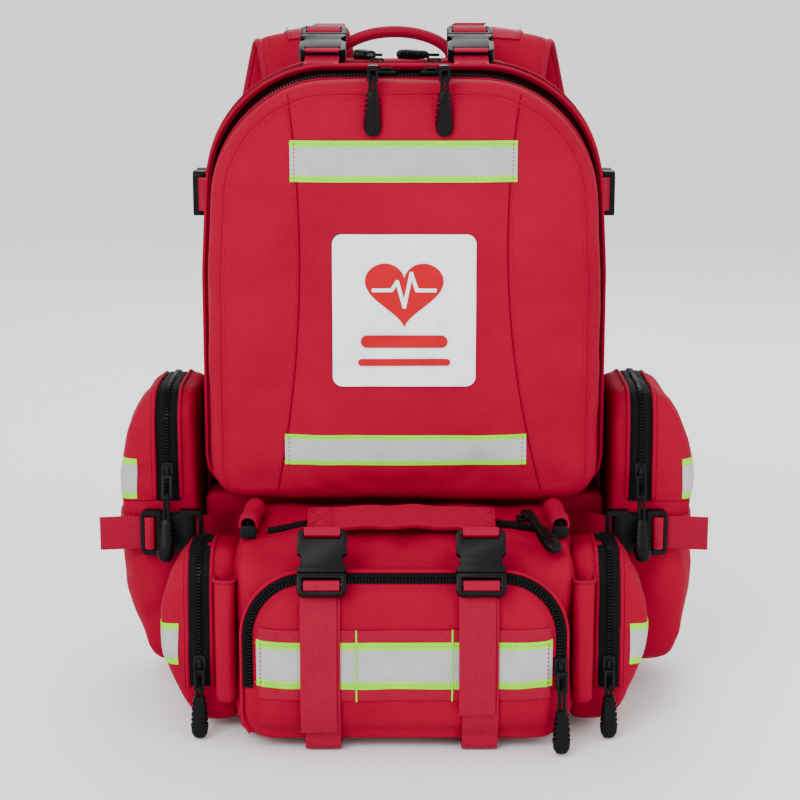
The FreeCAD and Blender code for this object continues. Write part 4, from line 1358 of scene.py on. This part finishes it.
def side_pockets():
    """The waist pack's side pockets with their zips, bands and open sleeves."""
    for tag, side in SIDES:
        x0, x1 = 117.4, 173.0
        outline = [(x0, 5), (x1 - 24, 5), (x1, 60), (x1 - 1, 100), (x1 - 16, 132), (x0, 134)]
        outline = [(p.x * side, p.y) for p in rounded(outline, [2, 20, 40, 40, 18, 2])]
        raw, raw_r = [(-84, 5), (-148, 5), (-152, 60), (-148, 122), (-128, 136), (-84, 136)], [4, 14, 60, 30, 16, 20]
        profile = [(p.x, p.y) for p in rounded(raw, raw_r)]
        obj = crossed(f"side_pocket_{tag}", outline, profile, ((-152, -84), (-200, 200)), voxel=4.5)

        def held(p):
            seam = min(abs(abs(p.x) - 137), abs(abs(p.x) - 153.6)) if p.z > 34 else 30.0
            return 1.0 if abs(p.x) < 121 or p.y > -88 else max(0.0, min(1.0, 1.4 - seam / 4.0))

        inflate(obj, held, cap=3.5)
        rumple(obj, 1.6, 22.0, lambda p: 0.0 if abs(p.x) < 121 else 1.0)
        finer(obj)
        above_floor(obj, 3.0)
        skin = Skin(obj)
        adopt(obj, "pack")
        frames = outline_frames(raw, raw_r, "yz", 0.0, 2.6)
        ring = [f for f in frames if f[0].z > 34 and (f[0].y < -100 or f[0].z > 120) and f[0].y < -88]
        ring.sort(key=lambda f: math.atan2(f[0].z - 70, -(f[0].y + 110)))

        def over(x):
            return [skin.drop(p + X * (x * side) - n * 20, n) for p, n in ring]

        build = Build("zip", "coil", "red", "thread")
        zip_track(build, [(h + n * 0.2, n, X) for h, n in over(145.4)], 7.6)
        for x, out in ((136.6, -2.6), (154.2, 2.6)):
            hits = over(x)
            build.tube([h + n * 0.5 for h, n in hits], 1.5, 2, sides=6, up=X)
            hits = over(x + out)
            sewn(build, hits, slot=3, lift=0.3)
        piece(f"side_pocket_{tag}_zip", build, "pack")

        band = Build("silver", "lime", "lime_thread")
        line, ways = radial(skin, (145, -112), side, -68, 38, 67)
        tape_on(band, skin, line, ways, 15.0, 0.1)
        piece(f"side_pocket_{tag}_band", band, "pack")

        # narrow sleeve for pens or shears between this pocket and the front one
        sleeve = Build("red", "lining_and_seam_shade")
        section = rounded([(x0 + 1, -150), (x0 + 1, -170), (x0 + 16, -166), (x0 + 16, -150)], [0, 5, 5, 0], 2.0)
        rows = []
        for k in range(19):
            z = 28 + 90 * k / 18
            rows.append([Vector((p.x * side + ruffle(Vector((p.x, p.y, z)), 15, 0.8), p.y - 1.5 * k / 18, z))
                         for p in section])
        sleeve.grid(rows)
        sleeve.polygon(rows[0])
        shell = new_object(f"waist_sleeve_{tag}", sleeve.mesh(f"waist_sleeve_{tag}"))
        face_out(shell, -Y)
        finer(shell)
        thicker(shell, 1.6)
        adopt(shell, "pack", ["waist_sleeves"], smooth=50)
        hem = Build("binding")
        hem.tube([p + Z * 0.2 for p in rows[-1]], 1.3, 0, sides=6)
        piece(f"waist_sleeve_{tag}_hem", hem, "pack")


def rolled(build, start, end, radius, thick):
    """A length of webbing rolled into an open tube."""
    way = (end - start).normalized()
    a = way.cross(Z).normalized()
    b = way.cross(a)
    rows = []
    for k in range(9):
        p = start.lerp(end, k / 8)
        rows.append((p, radius * (1 + 0.06 * math.sin(k * 1.3))))
    rings = []
    for shrink in (0.0, thick):
        ring = [[p + (a * math.cos(t) + b * math.sin(t)) * (r - shrink)
                 for t in [2 * math.pi * j / 24 for j in range(24)]] for p, r in rows]
        uvs = [[((r - shrink) * 2 * math.pi * j / 24, k * 4.0) for j in range(24)] for k, (_, r) in enumerate(rows)]
        build.grid(ring, 0, uvs, closed=True, flip=bool(shrink))
        rings.append(ring)
    for end_row, flip in ((0, True), (-1, False)):
        build.grid([rings[0][end_row], rings[1][end_row]], closed=True, flip=flip)


def waist_straps(pocket):
    """The waist pack's straps, buckles, rolled loops and handle."""
    build = Build("webbing", "thread")
    front = POCKET_FRONT
    for x, tail_end, tag in ((STRAP_X[0], 19.0, "left"), (STRAP_X[1], 32.0, "right")):
        drop = [Vector((x, front, z)) for z in [115.5 - 102.5 * k / 40 for k in range(41)]]
        points, _ = skin_strap(build, pocket, drop, X, Y, WEB / 2, 1.4)
        foot = points[-1][3] - Y * 2.0
        flat_strap(build, [foot, (x, foot.y + 0.3, 5), (x, foot.y + 3, 1.4), (x, -150, 1.0), (x, -52, 1.0)], X)
        second = [Vector((x - 2.5, front, z)) for z in [115 - (115 - tail_end) * k / 36 for k in range(37)]]
        skin_strap(build, pocket, second, X, Y, WEB / 2, 3.1)
        link = [(x, -122, 150.5), (x, -140, 146.5), (x, -156, 144.5), (x, -168, 149.5), (x, -176, 153.6)]
        flat_strap(build, link, X)
        socket_web(build, placing(Vector((x, front + 0.5, 131.0)), ("X", 180 - BUCKLE_SLOPE)), face=1)
    for side in (-1, 1):
        start, end = Vector((side * 108, -102, 154.8)), Vector((side * 111, -135, 150.2))
        rolled(build, start, end, 7.2, 1.6)
    piece("waist_strap_web", build, "pack", ["waist_straps"])
    hard("waist_hooks", "pack")

    low, high = box_mm("waist_handle")
    handle = Build("webbing", "thread")
    mid = (low.x + high.x) / 2
    span = (high.x - low.x) / 2

    def along(t):
        """The handle's middle line, from its left end (-1) to its right (1)."""
        return Vector((mid + span * t, -134, low.z + 2.6 + 3.0 * (1 - t * t) + ruffle(Vector((t * 60, 0, 0)), 16, 1.4)))

    lean = Vector((0, -0.92, -0.39))
    flat_strap(handle, [along(k / 12 - 1) for k in range(25)], lean, 12.3, 0, 2.6, 1)
    for t in (-0.86, 0.86):
        box_stitch(handle, along(t) + Z * 1.5, X * 8.5, lean * 9.5, Vector((0, -0.39, 0.92)))
    piece("waist_handle_web", handle, "pack", ["waist_handle"])
    for x, tag in zip(STRAP_X, ("left", "right")):
        body = "waist_latch_" + tag
        hard(body, body)
        web = Build("webbing")
        latch_web(web, placing(Vector((x, front + 0.5, 131.0)), ("X", 180 - BUCKLE_SLOPE)), face=1)
        piece(body + "_web", web, body)


def waist_sliders():
    """The waist pack's sliders and pulls."""
    for tag, dx in (("front", 1.0), ("left", 0.0), ("right", 0.0)):
        hard("waist_slider_" + tag, "waist_slider_" + tag, "enamel")
        low, high = box_mm("waist_slider_" + tag)
        at = Vector(((low.x + high.x) / 2 + dx, low.y - 2.2, (low.z + high.z) / 2 - 3))
        cord = 13 if tag == "front" else 4
        lean = -2 if tag == "front" else -3
        node = "waist_pull_" + tag
        pull(node + "_cord", placing(at, ("X", lean)), 13, cord, node, [node])
    hard("waist_slider_top", "waist_slider_top", "enamel", keep=lambda c, s: c.z < 155 and s.y < 14 and s.z < 7.5)
    pull("waist_pull_top_cord", placing(Vector((88, -121, 156.0)), ("X", -74), ("Z", 20)), 11, 12, "waist_slider_top")


# ---- top of the pack, carrying straps -----------------------------------------------------------
def sliders():
    """The front and main zips' sliders and pulls."""
    for tag, side in SIDES:
        hard("front_slider_" + tag, "front_slider_" + tag, "enamel")
        low, high = box_mm("front_slider_" + tag)
        node = "front_pull_" + tag
        at = Vector(((low.x + high.x) / 2 + side * 9, LID_Y0 - 7.0, low.z + 3.0))
        pull(node + "_cord", placing(at), 7, 7, node, [node])
        hard(node, node, "enamel", keep=lambda c, s: s.y > 20, name=node + "_link")
        hard("main_slider_" + tag, "main_slider_" + tag, "enamel", keep=lambda c, s: c.z < SHELL[2] + 4 and s.x < 16)
        turn, x = (20, -20.0) if side < 0 else (35, 22.0)
        at = Vector((x, (MAIN_Y + FLAP_Y1) / 2 + 2, SHELL[2] + 5.4))
        pull(f"main_pull_{tag}_cord", placing(at, ("X", 90), ("Z", turn)), 11, 2, "main_slider_" + tag)


def haul_handle():
    """The bound handle at the top, between its two sewn feet."""
    low, high = box_mm("haul_handle")
    mid, y = (low.x + high.x) / 2, (low.y + high.y) / 2
    build = Build("binding", "webbing", "thread")
    span, rise, bend = 43.0, 15.5, 1.25
    path = [Vector((mid + span * math.sin(t) / math.sin(bend), y,
                    478.5 + rise * (math.cos(t) - math.cos(bend)) / (1 - math.cos(bend))))
            for t in [bend * (k / 16 - 1) for k in range(33)]]
    build.tube(path, 4.5, 0, sides=14, up=Y)
    for end in (path[0], path[-1]):
        build.tube([end - Z * 5.6, end - Z * 2, end + Z * 1.0], [3.4, 3.8, 4.4], 1, sides=12, flat=1.0, up=Y)
    line = [p + Z * 0.1 for p in path]
    stitches(build, [p - Y * 4.4 for p in line], [-Y] * len(line), slot=2)
    piece("haul_handle_grip", build, "haul_handle", ["haul_handle"])


def top_straps(skins):
    """Load-lifting straps from the shoulder straps to the buckles on the main flap."""
    for x, (tag, _), skin in zip(TOP_BUCKLE_X, SIDES, skins):
        slope = math.radians(TOP_SLOPE)
        way = Vector((0, math.cos(slope), math.sin(slope)))
        foot = Vector((x, -30.0, 476.5))
        mouth = placing(foot + way * 30.0, ("X", TOP_SLOPE - 90))
        tab = Build("webbing", "thread")
        bar = foot + way * 4.8
        flat_strap(tab, [(x, -60, FLAP[2] + 1.1), (x, -42, FLAP[2] + 1.3), (x, bar.y - 6, bar.z - 2.6),
                         (x, bar.y + 1, bar.z - 0.6)], X)
        socket_web(tab, mouth)
        box_stitch(tab, Vector((x, -51, FLAP[2] + 2.0)), X * 9, Y * 7, Z)
        piece(f"top_tab_{tag}", tab, "main_flap")
        near = foot + way * 46.5
        strap = Build("webbing")
        over = [skin.drop(Vector((x, y, 560)), -Z)[0] + Z * 2.6 for y in (112, 118, 124, 130)]
        flat_strap(strap, [near - way * 2, Vector((x, 96, over[0].z + 0.5)), *over], X)
        latch_web(strap, mouth)
        piece(f"top_strap_{tag}_web", strap, "top_latch_" + tag, ["top_strap_" + tag])
        hard("top_latch_" + tag, "top_latch_" + tag)
    hard("top_sockets", "main_flap", keep=lambda c, s: s.x > 30)


def side_straps(skin):
    """Compression straps with buckles on the pack's sides."""
    for tag, side in SIDES:
        x = side * (SHELL[0] + 6.2)
        mouth = placing(Vector((x, 36, SIDE_Z)), ("X", -90), ("Y", -90 * side))
        strap = Build("webbing")
        end = skin.drop(Vector((side * 200, 74, SIDE_Z)), -X * side)[0].x + side * 1.1
        flat_strap(strap, [(x, 48, SIDE_Z), (x, 56, SIDE_Z), (end, 68, SIDE_Z), (end, 80, SIDE_Z)], -Z * side)
        latch_web(strap, mouth, face=1)
        piece(f"side_strap_{tag}", strap, "side_latch_" + tag)
        hard("side_latch_" + tag, "side_latch_" + tag, keep=lambda c, s: c.y < 55 and s.x > 8)
        front = Build("webbing", "thread")
        root = skin.drop(Vector((side * 200, -9, SIDE_Z)), -X * side)[0].x + side * 1.1
        flat_strap(front, [(root, -16, SIDE_Z), (root, -3, SIDE_Z), (x, 5.5, SIDE_Z), (x, 9, SIDE_Z)], -Z * side)
        box_stitch(front, Vector((root + side * 0.9, -9, SIDE_Z)), Y * 5.5, Z * 9, X * side)
        piece(f"side_strap_{tag}_front", front, "pack")
    hard("buckle_sockets", "pack")


def pack_rows(skin):
    """Rows of webbing for pouches on both sides, and two on the base."""
    build = Build("webbing", "thread")
    for side in (-1, 1):
        for z in (156.0, 194.0, 232.0, 270.0, 308.0):
            line = [Vector((side * SHELL[0], 2 + 64 * k / 22, z)) for k in range(23)]
            skin_strap(build, skin, line, Z, -X * side, lift=0.5)
            for y in (5, 34, 63):
                ends = [skin.drop(Vector((side * 200, y, z + dz)), -X * side)[0] for dz in (-11, 11)]
                stitches(build, [p + X * (side * 2.1) for p in ends], [X * side] * 2, 2.4, 1.8, 1, 0.1)
    for z in (45.0, 95.0):
        flat_strap(build, [(-120, BASE_Y - 0.8, z), (0, BASE_Y - 0.8, z), (120, BASE_Y - 0.8, z)], Z)
    mid = (box_mm("haul_handle")[0].x + box_mm("haul_handle")[1].x) / 2
    for x in (mid - 43, mid + 43):
        flat_strap(build, [(x - 9, 70, SHELL[2] + 0.7), (x + 9, 70, SHELL[2] + 0.7)], -Y, 9.0)
        box_stitch(build, Vector((x, 70, SHELL[2] + 1.5)), X * 6.5, Y * 6.5, Z)
    for side in (-1, 1):
        x = side * 92.0
        flat_strap(build, [(x, 106.5, 74), (x, 98, 58), (x, 82.0, 27), (x, 81.4, 8)], X * side)
        stitches(build, [Vector((x - 10, 82.4, 14)), Vector((x + 10, 82.4, 14))], [Y] * 2, slot=1)
    piece("pack_web", build, "pack", ["pack_webbing"])
    hard("strap_adjusters", "pack")


STRAP_PATH = ((-72, 97.5, 425), (-76, 99.5, 463), (-80, 108, 487), (-84, 122, 494), (-88, 136, 482), (-95, 143, 448),
              (-108, 139, 385), (-111, 126, 305), (-104, 115, 225), (-96, 109, 155), (-92, 107, 108))


def shoulder_strap(tag, side):
    """A padded shoulder strap with webbing down its middle; returns its surface."""
    centre = spread(softened([Vector((x * -side, y, z)) for x, y, z in STRAP_PATH], 2), 7.0)
    half, thick = 34.0, 4.6

    def at(p, u):
        """A point across the strap, which rolls in towards the neck at its top."""
        return p + X * (half * u) - Z * (side * 5.0 * u * max(0.0, min(1.0, (p.z - 400) / 80)))

    rows, ways = [], []
    for i, p in enumerate(centre):
        way = centre[min(i + 1, len(centre) - 1)] - centre[max(i - 1, 0)]
        out = X.cross(Vector((0, way.y, way.z)).normalized()).normalized()
        ring = []
        for j in range(28):
            a = 2 * math.pi * j / 28
            u, w = math.cos(a), math.sin(a)
            ring.append(at(p, math.copysign(abs(u) ** 0.55, u))
                        + out * (thick * math.copysign(abs(w) ** 0.8, w)))
        rows.append(ring)
        ways.append(out)
    build = Build("red", "lining_and_seam_shade")
    build.grid(rows, closed=True)
    build.polygon(rows[0])
    build.polygon(list(reversed(rows[-1])))
    obj = new_object(f"shoulder_strap_{tag}_pad", build.mesh(f"shoulder_strap_{tag}_pad"))
    face_out(obj, Y)

    def held(p):
        near = min(centre, key=lambda c: (c - p).length_squared)
        edge = half - abs(p.x - near.x)
        return max(0.0, min(1.0, 1.4 - edge / 5.0))

    inflate(obj, held, cap=1.6)
    rumple(obj, 0.6, 24.0)
    finer(obj)
    adopt(obj, "pack", ["shoulder_strap_" + tag])
    skin = Skin(obj)
    web = Build("webbing", "thread", "binding")
    outward = [w if w.y > 0 or w.z > 0.6 else -w for w in ways]
    line = centre[2:]
    facing = outward[2:]
    offsets = [12.5 * k / 3 for k in range(-3, 4)]
    points, normals = [], []
    for p, n in zip(line, facing):
        hits = [skin.drop(p + X * o + n * 14, -n) for o in offsets]
        points.append([h[0] for h in hits])
        normals.append([n] * 7)
    web.slab(points, normals, 0.2, WEB_T, 0)
    for o in (-10.8, 10.8):
        sewn(web, [(row[3] + X * o + n[0] * 1.8, n[0]) for row, n in zip(points, normals)], lift=0.1)
    bound = [centre[0].lerp(centre[1], 0.7), *centre[1:-1], centre[-1].lerp(centre[-2], 0.7)]
    for o in (-1, 1):
        web.tube([at(p, o) for p in bound], 1.9, 2, sides=8, flat=1.9, up=X)
        edge = [skin.drop(at(p, o * (1 - 6 / half)) + n * 14, -n) for p, n in zip(centre, outward)]
        sewn(web, edge)
    piece(f"shoulder_strap_{tag}_web", web, "pack")
    return skin


def back_pad():
    """The wearer's side: an air-mesh pad with sewn channels, bound round its edge."""
    low, high = box_mm("back_pad")
    dims = (high.x, low.z, high.z, 30.0, 46.0)
    thick = high.y - low.y
    stations = [(6, low.y + 4.4), (2.4, low.y + 3.4), (0.4, low.y + 1.6), (0.4, low.y + 0.2)]
    obj = arch_object("back_pad_cloth", dims, stations, 46, Y)

    def channel(p):
        """Distance to the nearest sewn channel: one up the middle and three across."""
        return min([abs(p.x)] + [abs(p.z - z - 0.12 * abs(p.x)) for z in (140, 235, 330)])

    def held(p):
        rim = depth_in(dims, p.x, p.z)
        near = min(channel(p), rim - 6.5)
        return 1.0 if p.y < low.y + 4 else max(0.0, min(1.0, 1.6 - near / 5.0))

    inflate(obj, held, cap=thick - 5.2)
    finer(obj)
    obj.data.materials[0] = MATS["mesh"]
    skin = Skin(obj)
    adopt(obj, "pack", ["back_pad"])
    build = Build("binding", "cord")
    half = dims[0]
    loop, _ = arch_line(dims, low.y + 1.6, low.z, 0.6, 5.0)
    build.tube(loop + [Vector((-half + 30, low.y + 1.6, low.z + 0.6)), Vector((half - 30, low.y + 1.6, low.z + 0.6)),
                       loop[0]], 1.6, 0, sides=8, flat=1.7, up=Y)
    for z in (140, 235, 330):
        for side in (-1, 1):
            line = [Vector((side * x, high.y + 30, z + 0.12 * x)) for x in [4 + 112 * k / 28 for k in range(29)]]
            hits = [skin.drop(p, -Y) for p in line]
            sewn(build, hits)
    hits = [skin.drop(Vector((0, high.y + 30, z)), -Y) for z in range(60, 426, 6)]
    sewn(build, hits)
    piece("back_pad_binding", build, "pack")


def inside():
    """The stiffener behind the lining and the padded divider, both seen when the flap is open."""
    low, high = box_mm("inner_divider")
    build = Build("lining_and_seam_shade", "binding")
    outline = rounded([(low.x, low.y), (high.x, low.y), (high.x, high.y), (low.x, high.y)], [8] * 4, 3.0)
    mid = (low.z + high.z) / 2
    centre = Vector(((low.x + high.x) / 2, (low.y + high.y) / 2))
    for way in (-1, 1):
        rings = []
        for shrink, rise in ((1.0, 1.0), (0.985, 2.1), (0.9, 2.5), (0.5, 2.5), (0.02, 2.5)):
            rings.append([Vector((centre.x + (p.x - centre.x) * shrink, centre.y + (p.y - centre.y) * shrink,
                                  mid + way * rise)) for p in outline])
        build.grid(rings, closed=True, flip=way < 0)
    edge = [Vector((p.x, p.y, mid)) for p in outline]
    build.tube(edge + edge[:1], 1.4, 1, sides=8)
    piece("inner_divider_cloth", build, "pack", ["inner_divider"], smooth=60)
    hard("frame_sheet", "pack", "sheet", edge=0.6)


def main():
    camera()
    studio()
    front_lid()
    main_flap()
    rear = main_shell()
    for tag, side in SIDES:
        pouch(tag, side)
    waist_shell()
    pocket = front_pocket()
    side_pockets()
    waist_straps(pocket)
    waist_sliders()
    sliders()
    haul_handle()
    top_straps([shoulder_strap(tag, side) for tag, side in SIDES])
    side_straps(rear)
    pack_rows(rear)
    back_pad()
    inside()


main()
